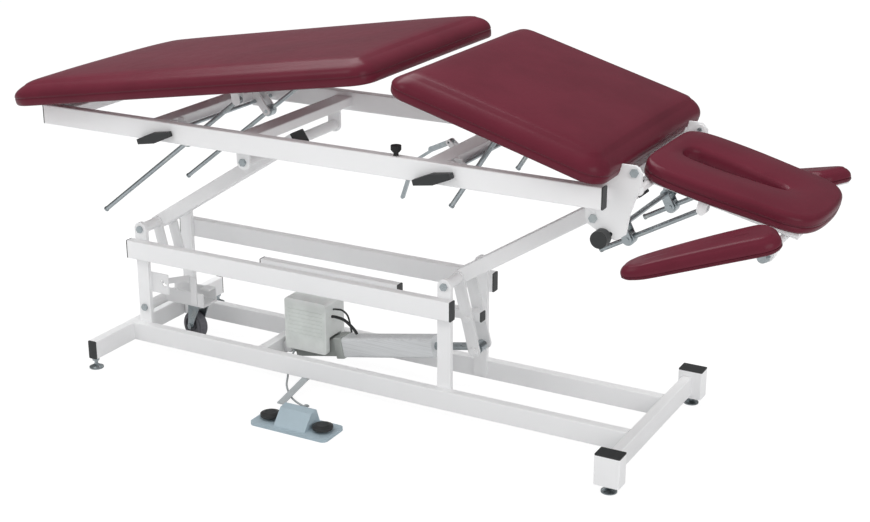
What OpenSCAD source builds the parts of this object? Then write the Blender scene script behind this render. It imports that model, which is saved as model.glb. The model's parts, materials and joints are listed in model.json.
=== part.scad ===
// Height-adjusting treatment table with a lifting leg section, a lifting middle
// section, a tilting head section and two armrests. Millimetres, floor at z = 0,
// head end towards +X, drawn at the height and tilts of rest.

/* [Stock] */
// Narrow side of the frame's box tube
tube_w = 25.4; // [18:0.2:34]
// Wide side of the frame's box tube
tube_h = 50.8; // [40:0.2:60]
// Wall of every tube
wall = 2; // [1.2:0.1:3]
// Corner radius of the tubes
tube_r = 3; // [2.4:0.1:5]
// Thickness of the black end caps
cap_t = 3; // [2:0.5:5]

/* [Lift] */
// Height of the lower arm pivots
pivot_z = 346; // [330:1:370]
// Position of the left lower pivot
pivot_x = -790; // [-810:1:-770]
// Distance between the left and right pivots
pivot_pitch = 928; // [900:1:940]
// Length of a lift arm from pivot to pivot
arm_len = 506; // [480:1:530]
// Arm angle above level at rest
arm_angle = 32.5; // [31:0.1:34]
// Depth of the arm tube across the table
arm_w = 56; // [48:1:64]
// Height of the arm tube
arm_h = 36; // [34:1:40]
// Run of the arm tube past its upper pivot
arm_past = 33; // [28:1:38]
// Distance from lower pivot to the push pin
lever_len = 190.5; // [184:0.5:196]
// Distance from lower pivot to the tie pin
tie_len = 106; // [102:0.5:110]
// Angle of the levers below level at rest
lever_angle = 76; // [74:0.5:78]
// Thickness of the lever plates
lever_t = 6; // [4:0.5:8]
// Radius of the pivot bolts
bolt_r = 6; // [5:0.1:7]
// Outer radius of the pivot tubes
bush_r = 14; // [12:0.5:16]

/* [Base] */
// Clear height under the base tubes
foot_h = 28.2; // [24:0.2:34]
// Outer face of the base rails from the middle
rail_y = 124.9; // [118:0.1:130]
// Half length of the left cross tube
base_half = 287; // [270:1:300]
// Left face of the left cross tube
base_x0 = -841; // [-860:1:-835]
// Middle of the right cross tube
base_x1 = 644; // [630:1:660]
// Length of a corner post along the table
post_l = 62; // [56:1:70]
// Width of a corner post
post_w = 42; // [36:1:48]
// Top of the corner posts
post_z = 96; // [86:1:110]
// Width of the flat uprights
upright_w = 38; // [34:1:42]
// Thickness of the flat uprights
upright_t = 12; // [10:0.5:14]
// Outer face of the uprights from the middle
upright_y = 104.8; // [101:0.1:108]
// Bottom of the middle rails
mid_rail_z = 267.2; // [255:0.5:275]
// Run of the middle rails past the pivots
mid_rail_past = 30; // [24:1:40]
// Radius of the levelling feet
foot_r = 19; // [14:0.5:22]

/* [Top frame] */
// Outer face of the top rails from the middle
top_y = 260.8; // [250:0.5:280]
// Top of the top rails
top_z = 705; // [698:1:712]
// Left end of the top rails
top_x0 = -951; // [-970:1:-945]
// Right end of the top rails
top_x1 = 601; // [596:1:606]
// Drop of the cross tubes below the rail top
cross_drop = 12; // [9:0.5:16]
// Outer face of the pivot plates from the middle
plate_y = 212.8; // [208:0.2:218]
// Thickness of the pivot plates
plate_t = 6; // [4:0.5:8]

/* [Cushions] */
// Width of the leg and middle cushions
pad_w = 660; // [620:1:690]
// Thickness of the leg and middle cushions at the edge
pad_t = 54; // [46:1:60]
// Rise of the cushions' crown
crown = 7; // [3:0.5:10]
// Corner radius of the leg cushion's free end
leg_corner = 90; // [50:1:120]
// Corner radius of the other cushion corners
pad_corner = 40; // [25:1:60]
// Length of the leg cushion right of its hinge
leg_len = 1013; // [990:1:1018]
// Run of the leg cushion past its hinge
leg_past = 94; // [60:1:100]
// Angle of the leg section at rest
leg_angle = 9.3; // [9:0.1:9.6]
// Length of the middle cushion left of its hinge
mid_len = 530; // [510:1:532]
// Angle of the middle section at rest
mid_angle = 15.9; // [15.6:0.1:16.2]
// Length of the head cushion
head_len = 398; // [380:1:410]
// Half width of the head cushion
head_half = 170; // [158:1:172]
// Thickness of the head cushion
head_t = 45; // [36:1:48]
// Fall of the head section at rest
head_angle = 13.2; // [12.9:0.1:13.5]
// Length of an armrest cushion
arm_pad_len = 334; // [300:1:350]
// Half width of an armrest cushion
arm_pad_half = 60; // [52:1:62]
// Share of its width that an armrest loses towards its tip
arm_taper = 0.42; // [0:0.01:0.6]
// Thickness of an armrest cushion
arm_pad_t = 36; // [30:1:40]

/* [Actuator] */
// Position of the rear pivot along the table
rear_x = -375; // [-385:1:-365]
// Height of the rear pivot
rear_z = 54; // [50:1:58]
// Radius of the push rod
rod_r = 10; // [8:0.5:12]
// Height of the actuator's outer tube
drive_h = 54; // [48:1:58]
// Width of the actuator's outer tube
drive_w = 48; // [40:1:52]
// Length of the control box
box_l = 128; // [110:1:150]
// Width of the control box
box_w = 90; // [70:1:100]
// Top of the control box
box_z1 = 208; // [195:1:210]

/* [Caster] */
// Radius of the caster wheel
wheel_r = 38; // [34:0.5:40]
// Width of the caster wheel
wheel_w = 28; // [22:1:32]
// Height of the wheel axle
wheel_z = 47; // [45:0.5:50]

/* [Foot switch] */
// Length of the switch base
switch_l = 222; // [200:1:240]
// Depth of the switch base
switch_d = 92; // [80:1:100]
// Thickness of the switch base
switch_h = 8; // [6:0.5:12]
// Height of the switch housing
switch_top = 48; // [40:0.5:56]
// Radius of the pedals
pedal_r = 26; // [22:0.5:28]
// Radius of the switch cable
cable_r = 2.6; // [2:0.1:3]

/* [Hidden] */
$fn = 48;
unit = 1;
run = 0.05;
over = 1;
gap = 0.5;
strap_in = 0.4;
head_r = 10;
head_h = 6;
pin_r = 5;
tube_mid = foot_h + tube_h / 2;
rail_in = rail_y - tube_w;
rail_mid = rail_y - tube_w / 2;
rail_top = foot_h + tube_h;
base_in = base_x0 + tube_w;
base_right = base_x1 - tube_w / 2;
post_x = base_x1 + 7 * unit;
post_low = foot_h - 8 * unit;
post_y0 = base_half - 36 * unit;
post_y1 = post_y0 + post_w;
left_foot_y = base_half - 12 * unit;
right_foot_y = (post_y0 + post_y1) / 2;
foot_x = [base_x0 + tube_w / 2, post_x];
upright_in = upright_y - upright_t;
right_x = pivot_x + pivot_pitch;
mid_rail_y = upright_y + tube_w / 2;
carrier_z = rail_top + 43 * unit;
top_in = top_y - tube_w;
top_mid = top_y - tube_w / 2;
rail_low = top_z - tube_h;
cross_top = top_z - cross_drop;
cross_low = cross_top - tube_w;
cross_z = cross_low + tube_w / 2;
plate_in = plate_y - plate_t;
up_dx = arm_len * cos(arm_angle);
up_z = pivot_z + arm_len * sin(arm_angle);
up_left = pivot_x + up_dx;
up_right = right_x + up_dx;
cross_x = [top_x0 + tube_h / 2 + cap_t, up_left - 255 * unit, up_left + 15 * unit, up_right - 394 * unit];
end_cross_x = up_right + 6 * unit;
tie_dx = tie_len * cos(lever_angle);
tie_z = pivot_z - tie_len * sin(lever_angle);
push_dx = lever_len * cos(lever_angle);
push_z = pivot_z - lever_len * sin(lever_angle);
lever_y = arm_w / 2;
lever_w = 16;
tie_y = lever_y - gap;
stiff_h = 31.8;
stiff_x = [pivot_x + 325 * unit, pivot_x + 743 * unit];
leg_x = top_x0 + 16 * unit;
leg_z = top_z + 4 * unit;
leg_off = 7;
mid_x = up_right + 46.2 * unit;
mid_z = top_z + 29 * unit;
mid_off = 11.6;
mid_back = 13;
head_x = up_right + 91.2 * unit;
head_z = top_z + 28 * unit;
head_top = 19;
head_back = 11;
bar_y0 = 190;
bar_y1 = 204;
bar_h = 17;
ear_t = 5;
ear_r = 12;
leg_pin_r = 4;
rod_y = 178;
brace_r = 6;
eye_half = 7;
cheek_t = 4;
leg_clamp = [leg_x + 385 * unit, leg_z - 67.2 * unit];
leg_eye = [leg_x + 540 * unit, leg_z + 54 * unit];
leg_tail = 366;
mid_clamp = [mid_x - 366 * unit, mid_z - 79 * unit];
mid_eye = [mid_x - 287 * unit, mid_z + 42 * unit];
mid_tail = 90;
head_rod_y = 135;
head_clamp = [head_x - 35 * unit, head_z - 174.7 * unit];
head_eye = [head_x + 129 * unit, head_z - 83 * unit];
head_tail = 78;
hanger_pin = [head_x - 50 * unit, head_z - 145 * unit];
clamp_r = 15;
clamp_half = 11.5;
trunnion = 6.5;
bracket_t = 6;
release = [[cross_x[1] + 33.5 * unit, rail_low + 12 * unit], [cross_x[3] + 33 * unit, rail_low + 18 * unit]];
release_angle = [17, 16];
grip_shift = [0, -5];
grip_l = 100;
grip_h = 26;
grip_t = 18;
grip_gap = 3.2;
stop_x = 90;
stop_h = 24;
sel_pin = [cross_x[3] - 40 * unit, cross_top + 5 * unit];
sel_y = 60;
frame_tube_r = 9.5;
frame_y = 112;
arm_joint = [302, -127];
arm_joint_y = 205;
arm_joint_r = 17;
arm_blunt = [332, 243, -78];
arm_turn = 26.3;
arm_pitch = 15.6;
drive_angle = atan2(push_z - rear_z, right_x + push_dx - rear_x);
drive_len = norm([right_x + push_dx - rear_x, push_z - rear_z]);
eye_r = 14;
eye_w = 26;
tube_s0 = 172;
tube_s1 = drive_len - 126 * unit;
rod_s0 = drive_len - 266 * unit;
box_x0 = rear_x + 4 * unit;
box_z0 = 66;
switch_c = [pivot_x + 637 * unit, -328 * unit];
cord_sides = 10;
switch_half = 45;
pedal_x = 76;
stem_r = 12;
pedal_travel = 4.5;
swivel = [pivot_x + 108 * unit, 0];
swivel_turn = 165;
trail = 26;
carrier_t = 6;
fork_t = 3;
fork_gap = 2;

// Profiles and simple bodies
module round_box(w, h, r) {
    square([w - 2 * r, h], center = true);
    square([w, h - 2 * r], center = true);
    for (i = [-1, 1]) {
        for (j = [-1, 1]) {
            translate([i * (w / 2 - r), j * (h / 2 - r)]) circle(r = r, $fn = 24);
        }
    }
}

module tube_profile(w, h) {
    difference() {
        round_box(w, h, tube_r);
        round_box(w - 2 * wall, h - 2 * wall, tube_r - wall);
    }
}

module tube_x(x0, x1, y, z, w, h) {
    translate([x0, y, z]) rotate([90, 0, 90]) linear_extrude(x1 - x0) tube_profile(w, h);
}

module tube_y(x, y0, y1, z, w, h) {
    translate([x, y1, z]) rotate([90, 0, 0]) linear_extrude(y1 - y0) tube_profile(w, h);
}

module block(x0, x1, y0, y1, z0, z1) {
    translate([x0, y0, z0]) cube([x1 - x0, y1 - y0, z1 - z0]);
}

module rod_y(x, z, y0, y1, r) {
    translate([x, y0, z]) rotate([-90, 0, 0]) cylinder(h = y1 - y0, r = r);
}

module sheet_y(y0, y1) {
    translate([0, y1, 0]) rotate([90, 0, 0]) linear_extrude(y1 - y0) children();
}

module both() {
    children();
    mirror([0, 1, 0]) children();
}

module hex_bolt(x, z, y0) {
    translate([x, y0, z]) rotate([-90, 0, 0]) cylinder(h = head_h, r = head_r, $fn = 6);
}

module through_bolt(x, z, y, r) {
    rod_y(x, z, -y - over, y + over, r);
    both() hex_bolt(x, z, y);
}

module strap(a, b, r) {
    turn = atan2(b[1] - a[1], b[0] - a[0]);
    span = norm(b - a);
    translate(a) circle(r = r);
    translate(b) circle(r = r);
    translate(a) rotate(turn) translate([0, strap_in - r]) square([span, 2 * (r - strap_in)]);
}

module hole(x, z, r) {
    translate([x, z]) circle(r = r);
}

// Cushions: rings of one outline, drawn in below and above, with a crown
function corner_arc(cx, cy, r, a0) = [for (i = [0:5]) [cx + r * cos(a0 + 18 * i), cy + r * sin(a0 + 18 * i)]];
function soft_outline(l, w, ra, rb, inset) = let (
    a = max(ra - inset, 4), b = max(rb - inset, 4), h = w / 2 - inset, e = l - inset)
    concat(corner_arc(inset + a, -h + a, a, 180), corner_arc(e - b, -h + b, b, 270),
    corner_arc(e - b, h - b, b, 0), corner_arc(inset + a, h - a, a, 90));
function rise(q) = 1 - (1 - q) * (1 - q);
function soft_rings(l, w, ra, rb, t) = let (m = min(l, w) / 2)
    [[5, 0], [1, 0.1 * t], [0, 0.3 * t], [0.4, 0.42 * t], [3, 0.57 * t], [8, 0.72 * t], [16, 0.86 * t],
    [27, 0.96 * t], [40, t], [m * 0.42, t + crown * rise(0.5)], [m * 0.66, t + crown * rise(0.8)],
    [m * 0.86, t + crown]];
module ring_body(rings) {
    n = len(rings[0]);
    k = len(rings);
    points = [for (r = rings) for (p = r) p];
    sides = [for (j = [0:k - 2]) for (i = [0:n - 1]) each [
        [j * n + i, (j + 1) * n + i, (j + 1) * n + (i + 1) % n],
        [j * n + i, (j + 1) * n + (i + 1) % n, j * n + (i + 1) % n]]];
    low = [for (i = [0:n - 1]) i];
    high = [for (i = [n - 1:-1:0]) (k - 1) * n + i];
    polyhedron(points = points, faces = concat(sides, [low], [high]), convexity = 4);
}
module cushion(l, w, ra, rb, t) {
    ring_body([for (s = soft_rings(l, w, ra, rb, t))
        [for (p = soft_outline(l, w, ra, rb, s[0])) [p[0], p[1], s[1]]]]);
}

// shares of the head cushion's length and half width, neck to free end
head_shares = [[0, 0], [0, 0.42], [0.005, 0.7], [0.03, 0.84], [0.09, 0.95], [0.2, 1], [0.4, 1],
    [0.55, 0.97], [0.7, 0.93], [0.84, 0.9], [0.93, 0.8], [0.98, 0.58], [1, 0.3], [1.005, 0]];
slot_shares = [[0.12, 0], [0.125, 0.08], [0.14, 0.14], [0.17, 0.185], [0.2, 0.2], [0.26, 0.205], [0.33, 0.2],
    [0.41, 0.185], [0.49, 0.15], [0.56, 0.12], [0.63, 0.095], [0.68, 0.075], [0.71, 0.04], [0.72, 0]];
function loop_of(s) = concat(s, [for (i = [len(s) - 2:-1:1]) [s[i][0], -s[i][1]]]);
function between(a, b, c, d) = (9 * (b + c) - a - d) / 16;
function smooth(s) = let (n = len(s)) [for (i = [0:n - 1]) each [s[i],
    between(s[(i + n - 1) % n], s[i], s[(i + 1) % n], s[(i + 2) % n])]];
function in_head(s) = [for (p = smooth(loop_of(s))) [p[0] * head_len, p[1] * head_half]];
// shares across the head cushion's body and of its thickness
section_shares = [[0.06, 0], [0.01, 0.12], [0, 0.5], [0.02, 0.85], [0.12, 1], [0.35, 1.1], [0.6, 1.08],
    [0.86, 1], [0.98, 0.82], [1, 0.5], [0.99, 0.12], [0.93, 0]];
module loop_body(rings) {
    n = len(rings[0]);
    k = len(rings);
    points = [for (r = rings) for (p = r) p];
    sides = [for (j = [0:k - 1]) for (i = [0:n - 1]) each [
        [j * n + i, j * n + (i + 1) % n, ((j + 1) % k) * n + (i + 1) % n],
        [j * n + i, ((j + 1) % k) * n + (i + 1) % n, ((j + 1) % k) * n + i]]];
    polyhedron(points = points, faces = sides, convexity = 6);
}

// Cables: rings square to the route
function unit_of(v) = v / norm(v);
function route_dir(r, i) = unit_of(r[min(i + 1, len(r) - 1)] - r[max(i - 1, 0)]);
function cord_ring(c, d, r) = let (u = unit_of(cross(d, [0.31, 0.17, 0.93])), v = cross(d, u))
    [for (k = [0:cord_sides - 1]) c + r * cos(k * 360 / cord_sides) * u + r * sin(k * 360 / cord_sides) * v];
function refined(r, n) = [for (i = [0:len(r) - 2]) for (k = [0:n - 1]) let (t = k / n, a = r[max(i - 1, 0)],
    b = r[i], c = r[i + 1], d = r[min(i + 2, len(r) - 1)])
    b + (c - a) / 2 * t + (a - 2.5 * b + 2 * c - d / 2) * t * t + (1.5 * (b - c) + (d - a) / 2) * t * t * t];
function full_route(r, n) = concat(refined(r, n), [r[len(r) - 1]]);
module cord(route, r, n) {
    q = full_route(route, n);
    ring_body([for (i = [0:len(q) - 1]) cord_ring(q[i], route_dir(q, i), r)]);
}

// Base
module base_rails() {
    color([0.9, 0.9, 0.91]) both() tube_x(base_in, base_right, rail_mid, tube_mid, tube_w, tube_h);
}
module base_cross_tubes() {
    color([0.9, 0.9, 0.91]) {
        tube_y(base_x0 + tube_w / 2, -base_half + cap_t, base_half - cap_t, tube_mid, tube_w, tube_h);
        tube_y(base_x1, -post_y0, post_y0, tube_mid, tube_w, tube_h);
        tube_y(rear_x - 33 * unit, -rail_in, rail_in, tube_mid, tube_w, tube_h);
        both() translate([post_x, (post_y0 + post_y1) / 2, post_low])
            linear_extrude(post_z - cap_t - post_low) tube_profile(post_l, post_w);
    }
}
module frame_caps() {
    color([0.16, 0.17, 0.17]) {
        both() translate([base_x0 + tube_w / 2, base_half, tube_mid]) rotate([90, 0, 0])
            linear_extrude(cap_t) round_box(tube_w, tube_h, tube_r);
        both() translate([post_x, (post_y0 + post_y1) / 2, post_z - cap_t])
            linear_extrude(cap_t) round_box(post_l, post_w, tube_r);
        both() for (x = [pivot_x - mid_rail_past, right_x + mid_rail_past - cap_t])
            translate([x, mid_rail_y, mid_rail_z + tube_h / 2]) rotate([90, 0, 90])
            linear_extrude(cap_t) round_box(tube_w, tube_h, tube_r);
    }
}
module foot(x, y, top) {
    translate([x, y, 0]) cylinder(h = 3 * unit, r = foot_r);
    translate([x, y, 3 * unit]) cylinder(h = 6 * unit, r1 = foot_r - 2 * unit, r2 = pin_r + 3 * unit);
    translate([x, y, 9 * unit]) cylinder(h = top - 9 * unit, r = pin_r);
    translate([x, y, top - 7 * unit]) cylinder(h = 7 * unit, r = head_r, $fn = 6);
}
module levelling_feet() {
    color([0.72, 0.75, 0.78]) both() {
        foot(foot_x[0], left_foot_y, foot_h);
        foot(foot_x[1], right_foot_y, post_low);
        translate([foot_x[1] - post_l / 4, right_foot_y, post_low]) cylinder(h = wall, r = head_r);
    }
}
module upright_shape(x, extra) {
    difference() {
        union() {
            strap([x, rail_top + upright_w / 2], [x, pivot_z], upright_w / 2);
            translate([x - upright_w / 2, rail_top]) square([upright_w, upright_w]);
        }
        hole(x, pivot_z, bolt_r + run);
        if (extra) hole(x, carrier_z, bolt_r + run);
    }
}
module uprights() {
    color([0.9, 0.9, 0.91]) both() {
        sheet_y(upright_in, upright_y) upright_shape(pivot_x, true);
        sheet_y(upright_in, upright_y) upright_shape(right_x, false);
        for (x = [pivot_x, right_x])
            block(x - upright_w / 2, x + upright_w / 2, upright_in, rail_in, rail_top - upright_w, rail_top);
    }
}
module middle_rails() {
    color([0.9, 0.9, 0.91]) both() tube_x(pivot_x - mid_rail_past + cap_t, right_x + mid_rail_past - cap_t,
        mid_rail_y, mid_rail_z + tube_h / 2, tube_w, tube_h);
}
module base_bolts() {
    color([0.75, 0.77, 0.8]) {
        for (x = [pivot_x, right_x]) through_bolt(x, pivot_z, upright_y, bolt_r);
        through_bolt(pivot_x, carrier_z, upright_y, bolt_r);
    }
}
module actuator_mount() {
    color([0.88, 0.88, 0.89]) both() sheet_y(eye_w / 2 + gap, eye_w / 2 + gap + lever_t) difference() {
        union() {
            strap([rear_x - 6 * unit, rear_z], [rear_x, rear_z], 14 * unit);
            translate([rear_x - 20.3 * unit, rear_z - 14 * unit]) square([20 * unit, 28 * unit]);
        }
        hole(rear_x, rear_z, pin_r + run);
    }
    color([0.75, 0.77, 0.8]) through_bolt(rear_x, rear_z, eye_w / 2 + gap + lever_t, pin_r);
}
module caster_gate() {
    x0 = pivot_x - upright_w / 2;
    color([0.88, 0.88, 0.89]) translate([0, -upright_in + 3 * unit, 0]) rotate([90, 0, 0])
        linear_extrude(3 * unit) difference() {
        translate([x0, pivot_z - 179 * unit]) square([upright_w + 56 * unit, 57 * unit]);
        translate([pivot_x + 58 * unit, pivot_z - 150 * unit]) rotate(-35) translate([-11 * unit, -5 * unit])
            square([22 * unit, 10 * unit]);
    }
}
module switch_hook() {
    y = [-rail_y + 12 * unit, -rail_y, -240 * unit];
    color([0.72, 0.75, 0.78]) translate([pivot_x + 520 * unit, 0, 0]) rotate([90, 0, 90])
        linear_extrude(20 * unit) polygon([[y[0], foot_h], [y[1], foot_h], [y[2], 5 * unit],
        [y[2], 2 * unit], [y[1], foot_h - 3 * unit], [y[0], foot_h - 3 * unit]]);
}
module switch_body() {
    c = switch_c;
    color([0.6, 0.66, 0.7]) difference() {
        union() {
            translate([c[0], c[1], 0]) linear_extrude(switch_h) round_box(switch_l, switch_d, 14 * unit);
            translate([c[0] - switch_half, c[1], 0]) rotate([90, 0, 90]) linear_extrude(2 * switch_half)
                polygon([[-0.38 * switch_d, switch_h - over], [-0.02 * switch_d, switch_top - 3 * unit],
                [0.24 * switch_d, switch_top], [0.42 * switch_d, switch_h - over]]);
        }
        for (i = [-1, 1]) translate([c[0] + i * pedal_x, c[1], wall])
            cylinder(h = switch_h, r = stem_r + unit);
    }
}
module pedal(i) {
    z0 = wall + pedal_travel;
    z1 = switch_h + pedal_travel + 2 * unit;
    color([0.1, 0.1, 0.1]) translate([switch_c[0] + i * pedal_x, switch_c[1], 0]) {
        translate([0, 0, z0]) cylinder(h = z1 - z0, r = stem_r);
        translate([0, 0, z1]) cylinder(h = 6 * unit, r = pedal_r);
        translate([0, 0, z1 + 6 * unit]) cylinder(h = 5 * unit, r1 = pedal_r - unit, r2 = pedal_r * 0.6);
    }
}
module switch_pedal_left() {
    pedal(-1);
}
module switch_pedal_right() {
    pedal(1);
}
switch_route = [[-150, -303, 43], [-150, -290, 44], [-158, -266, 30], [-190, -240, 12], [-250, -200, 4],
    [-300, -150, 6], [-330, -100, 12], [-350, -60, 30], [-350, -37, 56], [-350, -37, 64.8]];
module switch_cable() {
    color([0.12, 0.12, 0.12]) cord(switch_route, cable_r, 5);
}

// Caster
module caster_carrier() {
    top = carrier_z + 3 * unit;
    end = swivel[0] + 34 * unit;
    color([0.86, 0.86, 0.87]) {
        difference() {
            union() {
                rod_y(pivot_x, carrier_z, -upright_in + gap, upright_in - gap, bush_r);
                both() block(pivot_x, end, 27 * unit, 30 * unit, top - carrier_t, top + 34 * unit);
                block(pivot_x + 10 * unit, end, -30 * unit, 30 * unit, top - carrier_t, top);
            }
            rod_y(pivot_x, carrier_z, -upright_y, upright_y, bolt_r + run);
        }
        translate([swivel[0], 0, top - carrier_t - 12 * unit]) cylinder(h = 12 * unit, r = pin_r);
        translate([swivel[0], 0, top - carrier_t - 13 * unit]) cylinder(h = 5 * unit, r = pin_r + 3 * unit);
        block(end - 30 * unit, end, -3 * unit, 27 * unit, top + 34 * unit, top + 38 * unit);
    }
    color([0.7, 0.74, 0.78]) {
        block(swivel[0] - 6 * unit, swivel[0] + 14 * unit, -33 * unit, -30 * unit, top, pivot_z - 141 * unit);
        translate([pivot_x + 94 * unit, -31.5 * unit, pivot_z - 147 * unit]) rotate([0, 0, 233])
            translate([-6 * unit, -1.5 * unit, -8 * unit]) cube([70 * unit, 3 * unit, 16 * unit]);
        rod_y(pivot_x + 54 * unit, pivot_z - 147 * unit, -upright_in - 4 * unit, -upright_in + 11 * unit,
            3.5 * unit);
    }
}
module caster_fork() {
    top = carrier_z + 3 * unit - carrier_t - gap;
    half = wheel_w / 2 + fork_gap;
    color([0.68, 0.73, 0.76]) translate([swivel[0], swivel[1], 0]) rotate(swivel_turn) {
        difference() {
            translate([0, 0, top - fork_t]) cylinder(h = fork_t, r = 24 * unit);
            translate([0, 0, top - fork_t - over]) cylinder(h = fork_t + 2 * over, r = pin_r + run);
        }
        both() sheet_y(half, half + fork_t) polygon([[-16 * unit, top - fork_t],
            [trail + 4 * unit, top - fork_t], [trail + 10 * unit, wheel_z],
            [trail, wheel_z - 10 * unit], [trail - 10 * unit, wheel_z]]);
        rod_y(trail, wheel_z, -half - fork_t - 2 * unit, half + fork_t + 2 * unit, pin_r - unit);
        both() rod_y(trail, wheel_z, half + fork_t, half + fork_t + 4 * unit, 8 * unit);
    }
}
module caster_wheel() {
    color([0.42, 0.42, 0.44]) translate([swivel[0], swivel[1], 0]) rotate(swivel_turn)
        translate([trail, 0, wheel_z]) rotate([90, 0, 0]) rotate_extrude($fn = 64) {
        translate([pin_r - unit + run, -wheel_w / 2]) square([9 * unit, wheel_w]);
        translate([10 * unit, -wheel_w / 3]) square([wheel_r - 20 * unit, wheel_w * 2 / 3]);
        translate([wheel_r - 12 * unit, -wheel_w / 2]) square([9 * unit, wheel_w]);
        translate([wheel_r - 4 * unit, -wheel_w / 2 + 3 * unit]) square([4 * unit, wheel_w - 6 * unit]);
    }
}

// Lift drive
module on_drive() {
    translate([rear_x, 0, rear_z]) rotate([0, -drive_angle, 0]) children();
}
module along_drive(s0, s1, w, h) {
    on_drive() translate([s0, 0, 0]) rotate([90, 0, 90]) linear_extrude(s1 - s0) round_box(w, h, tube_r);
}
module actuator_body() {
    color([0.2, 0.21, 0.22]) {
        on_drive() difference() {
            union() {
                rod_y(0, 0, -eye_w / 2, eye_w / 2, eye_r);
                block(0, 20 * unit, -eye_w / 2, eye_w / 2, -eye_r, eye_r);
            }
            rod_y(0, 0, -eye_w, eye_w, pin_r + run);
        }
        along_drive(20 * unit, 150 * unit, drive_w - 4 * unit, drive_h - 6 * unit);
        along_drive(150 * unit, tube_s0, drive_w + 6 * unit, drive_h + 4 * unit);
    }
}
module actuator_tube() {
    color([0.8, 0.81, 0.82]) on_drive() difference() {
        translate([tube_s0, 0, 0]) rotate([90, 0, 90]) linear_extrude(tube_s1 - tube_s0)
            round_box(drive_w, drive_h, 8 * unit);
        translate([tube_s0 - over, 0, 0]) rotate([0, 90, 0])
            cylinder(h = tube_s1 - tube_s0 + 2 * over, r = rod_r + run);
    }
}
module control_box() {
    color([0.74, 0.79, 0.76]) difference() {
        translate([box_x0 + box_l / 2, box_w / 2, (box_z0 + box_z1) / 2]) rotate([90, 0, 0])
            linear_extrude(box_w) round_box(box_l, box_z1 - box_z0, 8 * unit);
        on_drive() block(-60 * unit, 400 * unit, -drive_w / 2 - 5 * unit, drive_w / 2 + 5 * unit,
            -200 * unit, drive_h / 2 + 4 * unit);
        for (i = [0:6]) block(box_x0 + 12 * unit, box_x0 + box_l - 12 * unit, -box_w, -box_w / 2 + 1.5 * unit,
            box_z1 - (29 + 11 * i) * unit, box_z1 - (26 + 11 * i) * unit);
    }
}
thick_route = [[0.4, -15, 166], [12, -15, 167], [36, -11, 161], [58, -5, 141], [67, 0, 124.5]];
thin_route = [[0.4, -8, 184], [12, -8, 186], [28, -5, 184], [40, 2, 166], [46, 8, 122]];
module box_cables() {
    color([0.12, 0.12, 0.12]) translate([box_x0 + box_l, 0, 0]) {
        cord(thick_route, 4 * unit, 5);
        cord(thin_route, 2.5 * unit, 5);
    }
}
module actuator_rod() {
    color([0.82, 0.84, 0.86]) on_drive() {
        translate([rod_s0, 0, 0]) rotate([0, 90, 0]) cylinder(h = drive_len - rod_s0, r = rod_r);
        rod_y(drive_len, 0, -eye_w / 2, eye_w / 2, eye_r);
        rod_y(drive_len, 0, -tie_y, tie_y, pin_r);
    }
}

// Arms and tie bar
module along_arm(x) {
    translate([x, 0, pivot_z]) rotate([0, -arm_angle, 0]) children();
}
module arm(x, half_up) {
    color([0.9, 0.9, 0.91]) along_arm(x) difference() {
        union() {
            translate([-bush_r, 0, 0]) rotate([90, 0, 90])
                linear_extrude(arm_len + arm_past - 4 * unit + bush_r) tube_profile(arm_w, arm_h);
            rod_y(0, 0, -upright_in + gap, upright_in - gap, bush_r);
            rod_y(arm_len, 0, -half_up, half_up, bush_r);
        }
        rod_y(0, 0, -upright_y, upright_y, bolt_r + run);
        rod_y(arm_len, 0, -plate_y, plate_y, bolt_r + run);
    }
}
module levers(x, reach) {
    color([0.86, 0.86, 0.87]) translate([x, 0, pivot_z]) rotate([0, lever_angle, 0]) both() {
        sheet_y(lever_y, lever_y + lever_t) difference() {
            strap([0, 0], [reach, 0], lever_w);
            hole(0, 0, bush_r + run);
        }
    }
    color([0.75, 0.77, 0.8]) translate([x, 0, pivot_z]) rotate([0, lever_angle, 0]) {
        rod_y(tie_len, 0, -lever_y - lever_t, lever_y + lever_t, pin_r);
        both() hex_bolt(tie_len, 0, lever_y + lever_t);
        if (reach > tie_len) both() hex_bolt(reach, 0, lever_y + lever_t);
    }
}
module arm_cap(x) {
    color([0.16, 0.17, 0.17]) along_arm(x) translate([arm_len + arm_past - 4 * unit, 0, 0])
        rotate([90, 0, 90]) linear_extrude(4 * unit) round_box(arm_w, arm_h, tube_r);
}
module left_arm() {
    arm(pivot_x, plate_in - gap);
}
module left_arm_levers() {
    levers(pivot_x, tie_len);
}
module left_arm_cap() {
    arm_cap(pivot_x);
}
module right_arm() {
    arm(right_x, plate_in - gap);
}
module right_arm_levers() {
    levers(right_x, lever_len);
}
module right_arm_cap() {
    arm_cap(right_x);
}
module tie_bar() {
    x0 = pivot_x + cap_t;
    x1 = right_x + tie_dx + 26 * unit;
    color([0.9, 0.9, 0.91]) difference() {
        union() {
            tube_x(x0, x1, 0, tie_z, tube_w, tube_w);
            tube_x(stiff_x[0], stiff_x[1], 0, tie_z + (tube_w + stiff_h) / 2, tube_w, stiff_h);
            for (x = [pivot_x, right_x]) rod_y(x + tie_dx, tie_z, -tie_y, tie_y, pin_r + 4 * unit);
        }
        for (x = [pivot_x, right_x]) rod_y(x + tie_dx, tie_z, -rail_y, rail_y, pin_r + run);
    }
}
module tie_caps() {
    x1 = right_x + tie_dx + 26 * unit;
    color([0.16, 0.17, 0.17]) {
        for (x = [pivot_x, x1]) translate([x, 0, tie_z]) rotate([90, 0, 90]) linear_extrude(cap_t)
            round_box(tube_w, tube_w, tube_r);
        for (x = [stiff_x[0] - cap_t, stiff_x[1]]) translate([x, 0, tie_z + (tube_w + stiff_h) / 2])
            rotate([90, 0, 90]) linear_extrude(cap_t) round_box(tube_w, stiff_h, tube_r);
    }
}

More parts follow.
